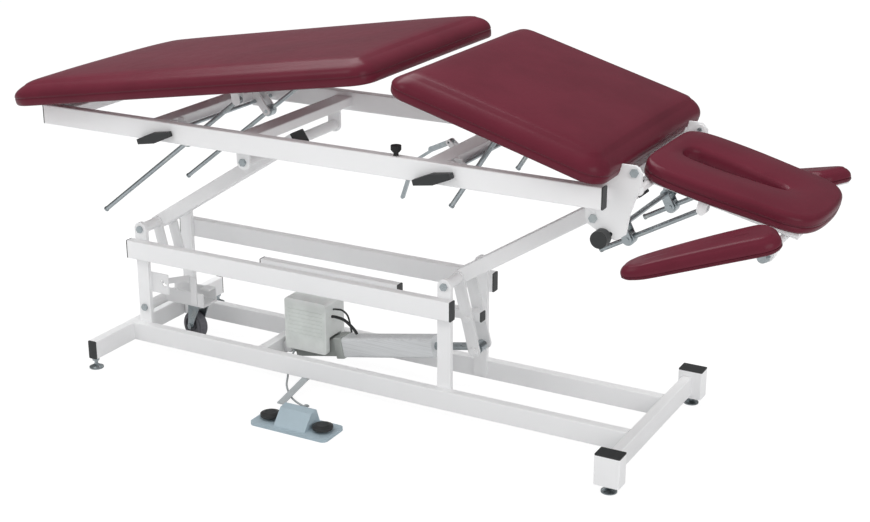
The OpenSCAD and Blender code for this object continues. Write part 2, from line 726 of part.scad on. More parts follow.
// Top frame
module top_rails() {
    color([0.9, 0.9, 0.91]) difference() {
        both() tube_x(top_x0, top_x1, top_mid, top_z - tube_h / 2, tube_w, tube_h);
        for (r = release) rod_y(r[0], r[1], -top_y - over, top_y + over, pin_r + run);
    }
}
module top_cross_tubes() {
    color([0.9, 0.9, 0.91]) for (x = concat(cross_x, [end_cross_x]))
        tube_y(x, -top_in, top_in, cross_z, tube_h, tube_w);
    color([0.9, 0.9, 0.91]) both() for (y = [bar_y0 - gap - ear_t, bar_y1 + gap]) sheet_y(y, y + ear_t)
        difference() {
        union() {
            hole(leg_x, leg_z, leg_pin_r + 2.5 * unit);
            translate([leg_x - 6.5 * unit, cross_top]) square([13 * unit, leg_z - cross_top]);
        }
        hole(leg_x, leg_z, leg_pin_r + run);
    }
}
// shares of the end plate's run and rise from the upper pivot
plate_shares = [[-0.18, 0.56], [-0.18, 0], [-0.12, -0.11], [0.31, -0.3], [0.51, -0.32], [0.71, -0.2],
    [0.78, 0.17], [1, 0.71], [1, 0.88], [0.87, 0.99], [0.4, 0.99], [0.27, 0.91], [0.23, 0.71], [0.14, 0.58]];
module pivot_plates() {
    span = head_x - up_right + 17 * unit;
    lift = mid_z - up_z + 16 * unit;
    color([0.9, 0.9, 0.91]) both() sheet_y(plate_in, plate_y) difference() {
        polygon([for (p = plate_shares) [up_right + p[0] * span, up_z + p[1] * lift]]);
        translate([end_cross_x - tube_h / 2, cross_low]) square([tube_h, tube_w]);
        hole(up_right, up_z, bolt_r + run);
        hole(mid_x, mid_z, pin_r + run);
        hole(head_x, head_z, pin_r + run);
        hole(hanger_pin[0], hanger_pin[1], pin_r + run);
    }
    color([0.9, 0.9, 0.91]) both() sheet_y(plate_in, plate_y) difference() {
        union() {
            hole(up_left, up_z, 19 * unit);
            translate([up_left - 19 * unit, up_z]) square([38 * unit, cross_low - up_z]);
        }
        hole(up_left, up_z, bolt_r + run);
    }
}
module top_caps() {
    color([0.16, 0.17, 0.17]) both() for (x = [top_x0 - cap_t, top_x1])
        translate([x, top_mid, top_z - tube_h / 2]) rotate([90, 0, 90])
        linear_extrude(cap_t) round_box(tube_w, tube_h, tube_r);
}
module top_bolts() {
    color([0.75, 0.77, 0.8]) {
        for (x = [up_left, up_right]) through_bolt(x, up_z, plate_y, bolt_r);
        both() {
            rod_y(mid_x, mid_z, bar_y0, plate_y + over, pin_r);
            rod_y(head_x, head_z, bar_y1 - 8 * unit, plate_y + over, pin_r);
            rod_y(hanger_pin[0], hanger_pin[1], plate_in, plate_y, pin_r);
            for (p = [[mid_x, mid_z], [head_x, head_z]]) hex_bolt(p[0], p[1], plate_y);
            rod_y(leg_x, leg_z, bar_y0 - ear_t - gap, bar_y1 + ear_t + gap, leg_pin_r);
        }
    }
}
module rubber_stops() {
    color([0.1, 0.1, 0.1]) both() translate([stop_x, top_mid, top_z]) {
        cylinder(h = 8 * unit, r = 6 * unit);
        translate([0, 0, 8 * unit]) cylinder(h = 6 * unit, r1 = 8 * unit, r2 = 12.5 * unit);
        translate([0, 0, 14 * unit]) cylinder(h = stop_h - 14 * unit, r = 12.5 * unit);
    }
}
module end_knobs() {
    x = up_right + 25 * unit;
    z = up_z - 38 * unit;
    color([0.1, 0.1, 0.1]) both() rod_y(x, z, plate_y + 3 * unit, plate_y + 28 * unit, 20 * unit);
    color([0.75, 0.77, 0.8]) both() rod_y(x, z, plate_y, plate_y + 3 * unit, 9 * unit);
}
module clamp_plates(x_face, z0, z1, p) {
    for (y = [rod_y - clamp_half - gap - bracket_t, rod_y + clamp_half + gap])
        sheet_y(y, y + bracket_t) difference() {
        union() {
            strap([x_face + 12 * unit, (z0 + z1) / 2], p, 11 * unit);
            translate([x_face, z0 - 13 * unit]) square([20 * unit, z1 - z0 + 13 * unit]);
        }
        hole(p[0], p[1], pin_r + run);
        for (r = release) hole(r[0], r[1], pin_r + gap);
    }
}
module rod_brackets() {
    color([0.86, 0.87, 0.88]) both() {
        clamp_plates(cross_x[1] + tube_h / 2, cross_low, cross_top, leg_clamp);
        clamp_plates(cross_x[3] + tube_h / 2, cross_low, cross_top, mid_clamp);
    }
    color([0.86, 0.87, 0.88]) for (i = [-1, 1]) translate([0, -sel_y + i * 9 * unit, 0])
        sheet_y(-2 * unit, 2 * unit) difference() {
        strap(sel_pin, [sel_pin[0] + 15 * unit, sel_pin[1] - 12 * unit], 7 * unit);
        translate([cross_x[3] - tube_h / 2, cross_low]) square([tube_h, tube_w]);
        hole(sel_pin[0], sel_pin[1], 3 * unit + run);
    }
}
module head_hanger() {
    color([0.3, 0.31, 0.32]) rod_y(hanger_pin[0], hanger_pin[1], -plate_in, plate_in, pin_r + unit);
    color([0.72, 0.75, 0.78]) both() {
        for (y = [head_rod_y - clamp_half - gap - cheek_t, head_rod_y + clamp_half + gap])
            sheet_y(y, y + cheek_t) difference() {
            strap(hanger_pin, head_clamp, 11 * unit);
            hole(hanger_pin[0], hanger_pin[1], pin_r + unit + run);
            hole(head_clamp[0], head_clamp[1], pin_r + run);
        }
        rod_y(hanger_pin[0], hanger_pin[1], head_rod_y + clamp_half + 8 * unit,
            head_rod_y + clamp_half + 11 * unit, 17 * unit);
    }
}

// Adjusting rods and their clamps
module rod_set(eye, pivot, tail, y) {
    d = eye - pivot;
    turn = atan2(d[1], d[0]);
    both() translate([pivot[0], y, pivot[1]]) rotate([0, -turn, 0]) {
        translate([-tail, 0, 0]) rotate([0, 90, 0]) cylinder(h = tail + norm(d), r = brace_r);
        rod_y(norm(d), 0, -eye_half, eye_half, brace_r + 3 * unit);
        translate([-tail, 0, 0]) rotate([0, 90, 0]) cylinder(h = 4 * unit, r = brace_r + unit);
    }
}
module clamp_set(eye, pivot, y, r) {
    d = eye - pivot;
    turn = atan2(d[1], d[0]);
    both() translate([pivot[0], y, pivot[1]]) rotate([0, -turn, 0]) difference() {
        union() {
            rod_y(0, 0, -clamp_half, clamp_half, r);
            rod_y(0, 0, -clamp_half - trunnion, clamp_half + trunnion, pin_r);
        }
        translate([-2 * r, 0, 0]) rotate([0, 90, 0]) cylinder(h = 4 * r, r = brace_r + run);
    }
}
module leg_rods() {
    color([0.74, 0.76, 0.79]) rod_set(leg_eye, leg_clamp, leg_tail, rod_y);
}
module middle_rods() {
    color([0.74, 0.76, 0.79]) rod_set(mid_eye, mid_clamp, mid_tail, rod_y);
}
module head_rods() {
    color([0.74, 0.76, 0.79]) rod_set(head_eye, head_clamp, head_tail, head_rod_y);
}
module leg_clamps() {
    color([0.66, 0.69, 0.72]) clamp_set(leg_eye, leg_clamp, rod_y, clamp_r);
}
module middle_clamps() {
    color([0.66, 0.69, 0.72]) clamp_set(mid_eye, mid_clamp, rod_y, clamp_r);
}
module head_clamps() {
    color([0.66, 0.69, 0.72]) clamp_set(head_eye, head_clamp, head_rod_y, clamp_r);
}
module release_shaft(i) {
    color([0.72, 0.75, 0.78]) rod_y(release[i][0], release[i][1], -top_y - grip_gap, top_y, pin_r);
}
module grip(i) {
    color([0.08, 0.08, 0.08]) translate([release[i][0], -top_y - grip_gap, release[i][1]])
        rotate([90, -release_angle[i], 0]) translate([grip_shift[i], 0, 0]) linear_extrude(grip_t)
        polygon([[-grip_l / 2, -grip_h / 4], [0, -grip_h / 2], [grip_l / 2, -grip_h / 4],
        [grip_l / 2, grip_h / 4], [0, grip_h / 2], [-grip_l / 2, grip_h / 4]]);
}
module leg_release() {
    release_shaft(0);
}
module leg_grip() {
    grip(0);
}
module middle_release() {
    release_shaft(1);
}
module middle_grip() {
    grip(1);
}
module selector_lever() {
    p = sel_pin;
    color([0.72, 0.75, 0.78]) difference() {
        union() {
            translate([0, -sel_y, 0]) sheet_y(-6 * unit, -2 * unit)
                strap([p[0] - 50 * unit, p[1] - 24 * unit], p, 7 * unit);
            translate([0, -sel_y, 0]) sheet_y(-2 * unit, 6 * unit) hole(p[0], p[1], 7 * unit);
        }
        rod_y(p[0], p[1], -sel_y - 20 * unit, -sel_y + 20 * unit, 3 * unit + run);
    }
    color([0.1, 0.1, 0.1]) translate([0, -sel_y, 0]) sheet_y(-2 * unit, 5 * unit) {
        strap([p[0] - 45 * unit, p[1] - 24 * unit], [p[0] - 100 * unit, p[1] - 62 * unit], 4 * unit);
        strap([p[0] - 100 * unit, p[1] - 62 * unit], [p[0] - 132 * unit, p[1] - 156 * unit], 5 * unit);
    }
}

// Leg and middle sections
module at_leg() {
    translate([leg_x, 0, leg_z]) rotate([0, -leg_angle, 0]) children();
}
module at_mid() {
    translate([mid_x, 0, mid_z]) rotate([0, mid_angle, 0]) children();
}
module leg_cushion() {
    color([0.5, 0.25, 0.31]) at_leg() translate([-leg_past, 0, leg_off])
        cushion(leg_len + leg_past, pad_w, leg_corner, pad_corner, pad_t);
}
function turned(p, a) = [p[0] * cos(a) + p[1] * sin(a), -p[0] * sin(a) + p[1] * cos(a)];
module cheeks(u, w, top, y) {
    for (y0 = [y - eye_half - gap - cheek_t, y + eye_half + gap]) sheet_y(y0, y0 + cheek_t) {
        hole(u, w, 11 * unit);
        translate([u - 11 * unit, w]) square([22 * unit, top - w]);
    }
    sheet_y(y - eye_half - gap - cheek_t, y + eye_half + gap + cheek_t)
        translate([u - 24 * unit, top - 3 * unit]) square([48 * unit, 3 * unit]);
}
module leg_frame() {
    e = turned(leg_eye - [leg_x, leg_z], leg_angle);
    color([0.88, 0.88, 0.89]) at_leg() difference() {
        union() {
            both() block(-8 * unit, leg_len - 150 * unit, bar_y0, bar_y1, leg_off - bar_h, leg_off);
            for (u = [90, 380, 700]) block(u * unit, (u + 40) * unit, gap - bar_y0, bar_y0 - gap,
                leg_off - 12 * unit, leg_off);
            both() cheeks(e[0], e[1], leg_off, rod_y);
        }
        rod_y(0, 0, -bar_y1 - over, bar_y1 + over, leg_pin_r + run);
    }
}
module middle_cushion() {
    color([0.5, 0.25, 0.31]) at_mid() difference() {
        translate([-mid_len, 0, -mid_off]) cushion(mid_len + mid_back, pad_w, pad_corner, pad_corner, pad_t);
        both() block(-48 * unit, mid_back + 20 * unit, bar_y0 - 6 * unit, plate_y + 10 * unit,
            -mid_off - over, 27 * unit);
    }
}
module middle_frame() {
    e = turned(mid_eye - [mid_x, mid_z], -mid_angle);
    color([0.88, 0.88, 0.89]) at_mid() difference() {
        union() {
            both() block(-mid_len + 90 * unit, 8 * unit, bar_y0, bar_y1, -mid_off - bar_h, -mid_off);
            both() sheet_y(bar_y0 + 4 * unit, bar_y1) {
                hole(0, 0, ear_r);
                translate([-ear_r, -mid_off - over]) square([2 * ear_r, mid_off + over]);
            }
            for (u = [60, 370]) block(-(u + 40) * unit, -u * unit, gap - bar_y0, bar_y0 - gap,
                -mid_off - 12 * unit, -mid_off);
            both() cheeks(e[0], e[1], -mid_off, rod_y);
        }
        rod_y(0, 0, -plate_y, plate_y, pin_r + run);
    }
}

// Head section
module at_head() {
    translate([head_x, 0, head_z]) rotate([0, head_angle, 0]) children();
}
module head_cushion() {
    outer = in_head(head_shares);
    inner = in_head(slot_shares);
    low = head_top - head_t;
    color([0.5, 0.25, 0.31]) at_head() translate([-head_back, 0, low])
        loop_body([for (i = [0:len(outer) - 1]) [for (s = section_shares)
        [outer[i][0] + (inner[i][0] - outer[i][0]) * s[0], outer[i][1] + (inner[i][1] - outer[i][1]) * s[0],
        head_t * 0.93 * s[1]]]]);
}
module head_frame() {
    low = head_top - head_t - frame_tube_r - 1.5 * unit;
    bar_r = frame_tube_r - unit;
    e = turned(head_eye - [head_x, head_z], -head_angle);
    j = turned(arm_joint, -head_angle);
    color([0.9, 0.9, 0.91]) at_head() {
        both() {
            translate([16 * unit, frame_y, low]) rotate([0, 90, 0])
                cylinder(h = head_len - 60 * unit, r = frame_tube_r);
            sheet_y(plate_in - gap - ear_t, plate_in - gap) difference() {
                strap([0, 0], [16 * unit, low], ear_r);
                hole(0, 0, pin_r + run);
            }
            cheeks(e[0], e[1], head_top - head_t, head_rod_y);
            block(e[0] - 20 * unit, e[0] + 20 * unit, frame_y - 5 * unit, head_rod_y,
                head_top - head_t - 3 * unit, head_top - head_t);
            rod_y(j[0], j[1], arm_joint_y, arm_joint_y + 13 * unit, arm_joint_r);
        }
        rod_y(16 * unit, low, -plate_in + gap + over, plate_in - gap - over, bar_r);
        rod_y(j[0], j[1], -arm_joint_y - unit, arm_joint_y + unit, bar_r);
        rod_y(head_len - 50 * unit, low, -frame_y, frame_y, bar_r);
    }
}
module at_arm() {
    translate([head_x + arm_blunt[0], -arm_blunt[1], head_z + arm_blunt[2]])
        rotate([0, arm_pitch, 180 + arm_turn]) children();
}
module arm_pad() {
    color([0.5, 0.25, 0.31]) at_arm() translate([0, 0, -arm_pad_t / 2])
        cushion_small(arm_pad_len, 2 * arm_pad_half, 28 * unit, arm_pad_half - 4 * unit, arm_pad_t);
}
module arm_bracket() {
    x = head_x + arm_joint[0];
    z = head_z + arm_joint[1];
    y0 = arm_joint_y + 13.3 * unit;
    color([0.86, 0.87, 0.88]) {
        at_arm() translate([10 * unit, -40 * unit, -arm_pad_t / 2 - 3 * unit])
            cube([110 * unit, 70 * unit, 3 * unit]);
        translate([0, -y0 - 14 * unit, 0]) sheet_y(0, 14 * unit) hole(x, z, arm_joint_r);
        intersection() {
            block(x - 10 * unit, x + 10 * unit, -y0 - 14 * unit, -y0, z, z + 60 * unit);
            at_arm() translate([-over * 50, -90 * unit, -120 * unit])
                cube([240 * unit, 180 * unit, 118 * unit - arm_pad_t / 2]);
        }
    }
}
module cushion_small(l, w, ra, rb, t) {
    m = w / 2;
    table = [[4, 0], [1, 0.12 * t], [0, 0.35 * t], [0.3, 0.6 * t], [2, 0.82 * t], [7, 0.96 * t], [m * 0.3, t],
        [m * 0.6, t + 2 * unit], [m * 0.84, t + 3 * unit]];
    ring_body([for (s = table) [for (p = soft_outline(l, w, ra, rb, s[0]))
        [p[0], p[1] * (1 - arm_taper * p[0] / l), s[1]]]]);
}
module armrest_near_pad() {
    arm_pad();
}
module armrest_far_pad() {
    mirror([0, 1, 0]) arm_pad();
}
module armrest_near_bracket() {
    arm_bracket();
}
module armrest_far_bracket() {
    mirror([0, 1, 0]) arm_bracket();
}

base_rails();
base_cross_tubes();
frame_caps();
levelling_feet();
uprights();
middle_rails();
base_bolts();
actuator_mount();
caster_gate();
switch_hook();
switch_body();
switch_pedal_left();
switch_pedal_right();
switch_cable();
caster_carrier();
caster_fork();
caster_wheel();
actuator_body();
actuator_tube();
control_box();
box_cables();
actuator_rod();
left_arm();
left_arm_levers();
left_arm_cap();
right_arm();
right_arm_levers();
right_arm_cap();
tie_bar();
tie_caps();
top_rails();
top_cross_tubes();
pivot_plates();
top_caps();
top_bolts();
rubber_stops();
end_knobs();
rod_brackets();
head_hanger();
leg_cushion();
leg_frame();
leg_rods();
leg_clamps();
leg_release();
leg_grip();
middle_cushion();
middle_frame();
middle_rods();
middle_clamps();
middle_release();
middle_grip();
selector_lever();
head_cushion();
head_frame();
head_rods();
head_clamps();
armrest_near_pad();
armrest_far_pad();
armrest_near_bracket();
armrest_far_bracket();
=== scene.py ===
import json
import math

import bpy
import numpy as np
from bpy.props import FloatProperty, FloatVectorProperty, PointerProperty
from bpy.types import Operator, Panel, PropertyGroup
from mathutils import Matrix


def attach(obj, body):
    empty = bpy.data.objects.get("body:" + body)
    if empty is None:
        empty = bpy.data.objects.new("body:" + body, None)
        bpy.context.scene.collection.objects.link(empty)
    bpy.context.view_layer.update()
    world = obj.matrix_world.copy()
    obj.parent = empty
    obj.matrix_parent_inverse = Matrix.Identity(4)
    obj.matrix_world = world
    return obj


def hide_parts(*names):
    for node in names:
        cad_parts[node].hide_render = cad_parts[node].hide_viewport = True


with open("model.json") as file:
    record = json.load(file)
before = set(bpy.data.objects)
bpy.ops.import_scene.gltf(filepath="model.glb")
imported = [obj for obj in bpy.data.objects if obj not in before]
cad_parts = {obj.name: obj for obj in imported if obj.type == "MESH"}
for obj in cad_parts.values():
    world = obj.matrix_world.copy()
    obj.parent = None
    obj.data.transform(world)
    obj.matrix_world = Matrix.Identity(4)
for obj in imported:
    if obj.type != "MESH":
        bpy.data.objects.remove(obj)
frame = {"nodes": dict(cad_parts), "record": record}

bl_info = {
    "name": "Treatment Table",
    "version": (1, 0, 0),
    "blender": (4, 5, 0),
    "location": "View3D > Sidebar > Table",
    "description": "Upholstery, cables, finishes and stage of a height-adjusting treatment table",
    "category": "Add Mesh",
}

# Hinge of each section as (x, z) in metres, and its tilt at rest
LEG_HINGE = (-0.935, 0.709)
LEG_TILT = math.radians(9.3)
MIDDLE_HINGE = (0.61096, 0.734)
MIDDLE_TILT = math.radians(15.9)
HEAD_HINGE = (0.65596, 0.733)
HEAD_TILT = math.radians(13.2)

# Section cushions: piece, CAD node, body, length, corner radii at the foot and the head end, tilt, hinge,
# start of the board from the hinge as (x, z), and length of the slope at the foot end
SECTION_CUSHIONS = (
    ("leg_upholstery", "leg_cushion", "leg_section", 1.107, (0.09, 0.05), LEG_TILT, LEG_HINGE,
     (-0.094, 0.007), 0.13),
    ("middle_upholstery", "middle_cushion", "middle_section", 0.543, (0.055, 0.055), -MIDDLE_TILT,
     MIDDLE_HINGE, (-0.530, -0.0116), 0.07))
SECTION_WIDTH = 0.66
SECTION_THICK = 0.059
SECTION_ROLL = (0.062, 0.0355)
SLOPE_SHARE = 0.45
SECTION_STITCH = 0.007

# Rings of a cushion's side as (inset, height): tucked under the board, then about the seam's height. The
# seam's own ring is counted from 0, and the stitches run some rings above it
BOARD_RINGS = ((0.030, 0.0), (0.012, 0.0), (0.0045, 0.0008), (0.0015, 0.004), (0.0004, 0.010))
SEAM_RINGS = ((0.0, -0.004), (0.0002, -0.0014), (0.0011, 0.0), (0.0002, 0.0014), (0.0, 0.003))
# Painted shade in the seam's groove: its weight on the ring below the seam's, on the seam's and on the one
# above
SEAM_SHADE = (0.25, 1.0, 0.25)
SEAM_RING = 7
STITCH_ABOVE = 2
ROLL_COUNT = 15
TOP_COUNT = 12
ARC_COUNT = 40
MIDDLE_GAP = 0.004

# Head cushion: outline and face slot as shares of its length and half width
HEAD_SHARES = (
    (0, 0), (0, 0.42), (0.005, 0.7), (0.03, 0.84), (0.09, 0.95), (0.2, 1), (0.4, 1), (0.55, 0.97),
    (0.7, 0.93), (0.84, 0.9), (0.93, 0.8), (0.98, 0.58), (1, 0.3), (1.005, 0))
SLOT_SHARES = (
    (0.12, 0), (0.125, 0.08), (0.14, 0.14), (0.17, 0.185), (0.2, 0.2), (0.26, 0.205), (0.33, 0.2),
    (0.41, 0.185), (0.49, 0.15), (0.56, 0.12), (0.63, 0.095), (0.68, 0.075), (0.71, 0.04), (0.72, 0))
HEAD_SIZE = (0.398, 0.170)
HEAD_START = (-0.011, 0, -0.026)
HEAD_STITCH = 0.006

# Its rings as (share of the way from the outline to the slot, height): tucked under, about the seam's
# height, foot of the roll, and down inside the slot. Between them the roll, the top and the lip each have
# a number of rings, a share of the way, the height that they start from and their rise over it
HEAD_UNDER_RINGS = ((0.10, 0.0), (0.03, 0.001), (0.008, 0.006))
HEAD_SEAM_RINGS = ((0.0, -0.003), (0.002, -0.0012), (0.016, 0.0), (0.002, 0.0012), (0.0, 0.004))
HEAD_ROLL_FOOT = ((0.0, 0.026),)
HEAD_SLOT_RINGS = ((0.985, 0.018), (0.98, 0.008), (0.95, 0.001), (0.90, 0.0))
HEAD_SEAM = 0.016
HEAD_SEAM_RING = 5
HEAD_COUNT = 7
HEAD_ROLL = (0.11, 0.028, 0.013)
HEAD_TOP = (0.74, 0.041, 0.004)
HEAD_LIP = (0.13, 0.027, 0.014)

# Armrests: the pad runs from its blunt end, whose place is that of the near one. Corner radii are those of
# the tip and the blunt end. The narrowing is the share of the width lost evenly, the share lost late and
# that one's power
ARM_LENGTH = 0.334
ARM_WIDTH = 0.12
ARM_THICK = 0.036
ARM_RADII = (0.056, 0.046)
ARM_ROLL = (0.024, 0.022)
ARM_CROWN = 0.003
ARM_SEAM = 0.010
ARM_BEND = 0.009
ARM_NARROWING = (0.16, 0.32, 2.6)
ARM_THINNING = 0.25
ARM_PITCH = math.radians(15.6)
ARM_HEADING = math.radians(206.3)
ARM_PLACE = (HEAD_HINGE[0] + 0.332, -0.243, HEAD_HINGE[1] - 0.078)

# Clamping knob: radius and reach along the joint's axis, and the axis' place at the bracket's face
KNOB_PROFILE = ((0.0090, 0.0000), (0.0095, 0.0020), (0.0095, 0.0060), (0.0055, 0.0070), (0.0055, 0.0100),
                (0.0125, 0.0110), (0.0135, 0.0125), (0.0135, 0.0165), (0.0125, 0.0180), (0.0065, 0.0190),
                (0.0065, 0.0210), (0.0105, 0.0220), (0.0115, 0.0235), (0.0115, 0.0275), (0.0100, 0.0295))
KNOB_PLACE = (HEAD_HINGE[0] + 0.302, 0.2323, HEAD_HINGE[1] - 0.127)
KNOB_SIDES = 48
KNURLS = 12
KNURL_DEPTH = 0.035
KNURLED_FROM = 0.012

# Stitches: radius of the thread, and for one bead of it the rings, the points of a ring, half its length
# as a share of the pitch, and the angle from its tip at which it is cut off
STITCH_RADIUS = 0.0007
BEAD_RINGS = 5
BEAD_SIDES = 6
BEAD_SHARE = 0.40
BEAD_CUT = 0.25

# Lean of the actuator's tube at rest
ACTUATOR_PITCH = math.asin(0.188241)

# Foot switch cable, with its route from the switch to the control box
CABLE_RADIUS = 0.0026
CABLE_STEPS = 12
CABLE_SIDES = 16
CABLE_ROUTE = (
    (-0.150, -0.303, 0.043), (-0.150, -0.290, 0.044), (-0.158, -0.266, 0.030), (-0.190, -0.240, 0.012),
    (-0.250, -0.200, 0.004), (-0.300, -0.150, 0.006), (-0.330, -0.100, 0.012), (-0.350, -0.060, 0.030),
    (-0.350, -0.037, 0.056), (-0.350, -0.037, 0.0648))

# Camera: place, angle below the level and turn about the vertical
CAMERA_PLACE = (1.7939, -3.1988, 1.659)
CAMERA_DOWN = math.radians(19.55)
CAMERA_TURN = math.radians(28.51)

# Stage: floor, share of the glow in what the camera sees of it, dimming of the surround for gloss, and
# lamps, each with its place and the side of its square
WHITE = (1, 1, 1, 1)
FLOOR_HALF = 12
FLOOR_DROP = 0.0005
FLOOR_GLOW = 1.14
GLOW_SHARE = 0.82
GLOSS_DIMMING = 0.76
LAMP_AIM = (0.0, 0.0, 0.6)
KEY_LAMP = ((-1.9, -2.4, 3.0), 1.3)
FILL_LAMP = ((3.0, -1.8, 1.8), 2.0)
TOP_LAMP = ((-1.3, 0.6, 3.4), 2.4)
TOP_OVER_KEY = 4.2

# Pieces whose finish isn't that of their slot
OTHER_FINISH = {"actuator_body": "cast_grey", "switch_hook": "cable_grey"}


class TableVinyl(PropertyGroup):
    """Colours and grain of the upholstery."""
    top: FloatVectorProperty(name="Vinyl", description="Colour of the upholstery vinyl", subtype="COLOR",
                             size=3, min=0, max=1, default=(0.130, 0.017, 0.032))
    grain: FloatProperty(name="Grain", description="Size of one pebble of the vinyl's grain",
                         default=0.0016, min=0.0005, max=0.01, unit="LENGTH")
    crown: FloatProperty(name="Crown", description="Rise of a cushion's middle over its edge",
                         default=0.011, min=0, max=0.02, unit="LENGTH")
    seam: FloatProperty(name="Seam height", description="Height of the side seam over the board",
                        default=0.020, min=0.005, max=0.04, unit="LENGTH")


class TableMetal(PropertyGroup):
    """Finish of the frame."""
    coat: FloatVectorProperty(name="Powder coat", description="Colour of the frame's powder coat",
                              subtype="COLOR", size=3, min=0, max=1, default=(0.93, 0.935, 0.94))
    peel: FloatProperty(name="Orange peel", description="Size of the powder coat's orange peel",
                        default=0.004, min=0.001, max=0.02, unit="LENGTH")


class TableStage(PropertyGroup):
    """Camera and lamps."""
    lens: FloatProperty(name="Lens", description="Focal length of the camera in millimetres",
                        default=64.02, min=20, max=200, unit="CAMERA")
    key: FloatProperty(name="Key lamp", description="Power of the key lamp in watts",
                       default=18, min=0, max=1000, unit="POWER")
    fill: FloatProperty(name="Fill lamp", description="Power of the fill lamp in watts",
                        default=26, min=0, max=1000, unit="POWER")
    sky: FloatProperty(name="Surround", description="Level of the plain surround",
                       default=0.76, min=0, max=5)


class Sock:
    """An output socket. Sums, differences and products with sockets or numbers add Math nodes."""

    def __init__(self, shader, out):
        self.shader = shader
        self.out = out

    def maths(self, operation, first, second):
        """A Math node on two sockets or numbers."""
        return self.shader.node("ShaderNodeMath", {"operation": operation}, {0: first, 1: second})

    def __add__(self, other):
        return self.maths("ADD", self, other)

    def __radd__(self, other):
        return self.maths("ADD", other, self)

    def __sub__(self, other):
        return self.maths("SUBTRACT", self, other)

    def __rsub__(self, other):
        return self.maths("SUBTRACT", other, self)

    def __mul__(self, other):
        return self.maths("MULTIPLY", self, other)

    def __rmul__(self, other):
        return self.maths("MULTIPLY", other, self)

    def clamp(self, low, high):
        """Not under low and not over high."""
        return self.maths("MINIMUM", self.maths("MAXIMUM", self, low), high)

    def step(self, low, high):
        """0 below low, 1 above high, smooth between."""
        return self.shader.node("ShaderNodeMapRange", {"interpolation_type": "SMOOTHSTEP"},
                                {"Value": self, "From Min": low, "From Max": high}, "Result")


class Shader:
    """A node tree, and the one way to add nodes to it."""

    def __init__(self, tree):
        self.tree = tree

    def feed(self, node, inputs):
        """Gives a node's sockets their values or links."""
        for name, value in inputs.items():
            if isinstance(value, Sock):
                self.tree.links.new(value.out, node.inputs[name])
            else:
                node.inputs[name].default_value = value

    def node(self, kind, settings=None, inputs=None, output=0):
        """Adds a node of a kind, makes its settings, feeds its sockets and returns one of its outputs."""
        node = self.tree.nodes.new(kind)
        for name, value in (settings or {}).items():
            setattr(node, name, value)
        self.feed(node, inputs or {})
        return Sock(self, node.outputs[output])


class Surface(Shader):
    """One finish: a Principled material patterned on object coordinates."""

    def __init__(self, name, roughness, metallic=0.0, coat=0.0, specular=0.5):
        self.material = bpy.data.materials.new(name)
        self.material.use_nodes = True
        super().__init__(self.material.node_tree)
        self.bsdf = self.tree.nodes["Principled BSDF"]
        self.feed(self.bsdf, {"Roughness": roughness, "Metallic": metallic, "Coat Weight": coat,
                              "Coat Roughness": 0.25, "Specular IOR Level": specular})
        self.coords = self.node("ShaderNodeTexCoord", output="Object")

    def noise(self, size, detail=4.0, rough=0.55, stretch=(1, 1, 1), pitch=0.0):
        """Noise of one size, stretched along the axes of a frame that is pitched about Y."""
        place = self.node("ShaderNodeMapping", None,
                          {"Vector": self.coords, "Rotation": (0, pitch, 0), "Scale": stretch})
        return self.node("ShaderNodeTexNoise", None, {"Vector": place, "Scale": 1 / size, "Detail": detail,
                                                      "Roughness": rough}, "Fac")

    def cells(self, size, feature="F1"):
        """Distance to the middle of the nearest cell."""
        return self.node("ShaderNodeTexVoronoi", {"feature": feature},
                         {"Vector": self.coords, "Scale": 1 / size}, "Distance")

    def cell_tint(self, size):
        """One chance value for each cell."""
        tints = self.node("ShaderNodeTexVoronoi", None, {"Vector": self.coords, "Scale": 1 / size}, "Color")
        return self.node("ShaderNodeSeparateColor", None, {0: tints})

    def edge(self):
        """1 on convex edges, from the mesh's pointiness."""
        return self.node("ShaderNodeNewGeometry", output="Pointiness").step(0.51, 0.62)

    def attribute(self, name):
        """A value that the mesh carries at its points."""
        return self.node("ShaderNodeAttribute", {"attribute_name": name}, None, "Fac")

    def colour(self, ground, *layers):
        """Lays colours over the ground in turn, each with its factor."""
        shown = (*ground, 1)
        for layer, factor in layers:
            shown = self.node("ShaderNodeMix", {"data_type": "RGBA"},
                              {"A": shown, "B": (*layer, 1), "Factor": factor}, "Result")
        self.feed(self.bsdf, {"Base Color": shown})

    def roughness(self, value):
        """Roughness that changes over the surface."""
        self.feed(self.bsdf, {"Roughness": value})

    def bump(self, height, distance, strength):
        """Bumps of a height map, with the distance that a height of 1 stands for."""
        normal = self.node("ShaderNodeBump", None,
                           {"Distance": distance, "Strength": strength, "Height": height})
        self.feed(self.bsdf, {"Normal": normal})


def tint(rgb, factor):
    """The colour made darker or lighter by a factor."""
    return tuple(min(1.0, c * factor) for c in rgb)


def vinyl(name, rgb, grain):
    """Grained upholstery vinyl: pebbles with fine wrinkles, slow shade changes, painted shade in its seam
    grooves.
    """
    finish = Surface(name, 0.36, coat=0.12, specular=0.10)
    pebbles = finish.cells(grain, "SMOOTH_F1")
    wrinkles = finish.noise(grain * 0.6, 3)
    shade = finish.noise(0.16, 3).step(0.35, 0.7)
    # painted shade: the seam's groove darkened by the weights that the mesh carries there
    seam = finish.attribute("seam_shade").clamp(0, 1)
    finish.colour(rgb, (tint(rgb, 0.86), shade), (tint(rgb, 1.12), pebbles.step(0.3, 0.75) * 0.35),
                  (tint(rgb, 0.78), seam))
    finish.roughness(finish.noise(0.03) * 0.10 + 0.29)
    finish.bump(pebbles * 0.7 + wrinkles * 0.3, 0.00022, 0.6)
    return finish.material


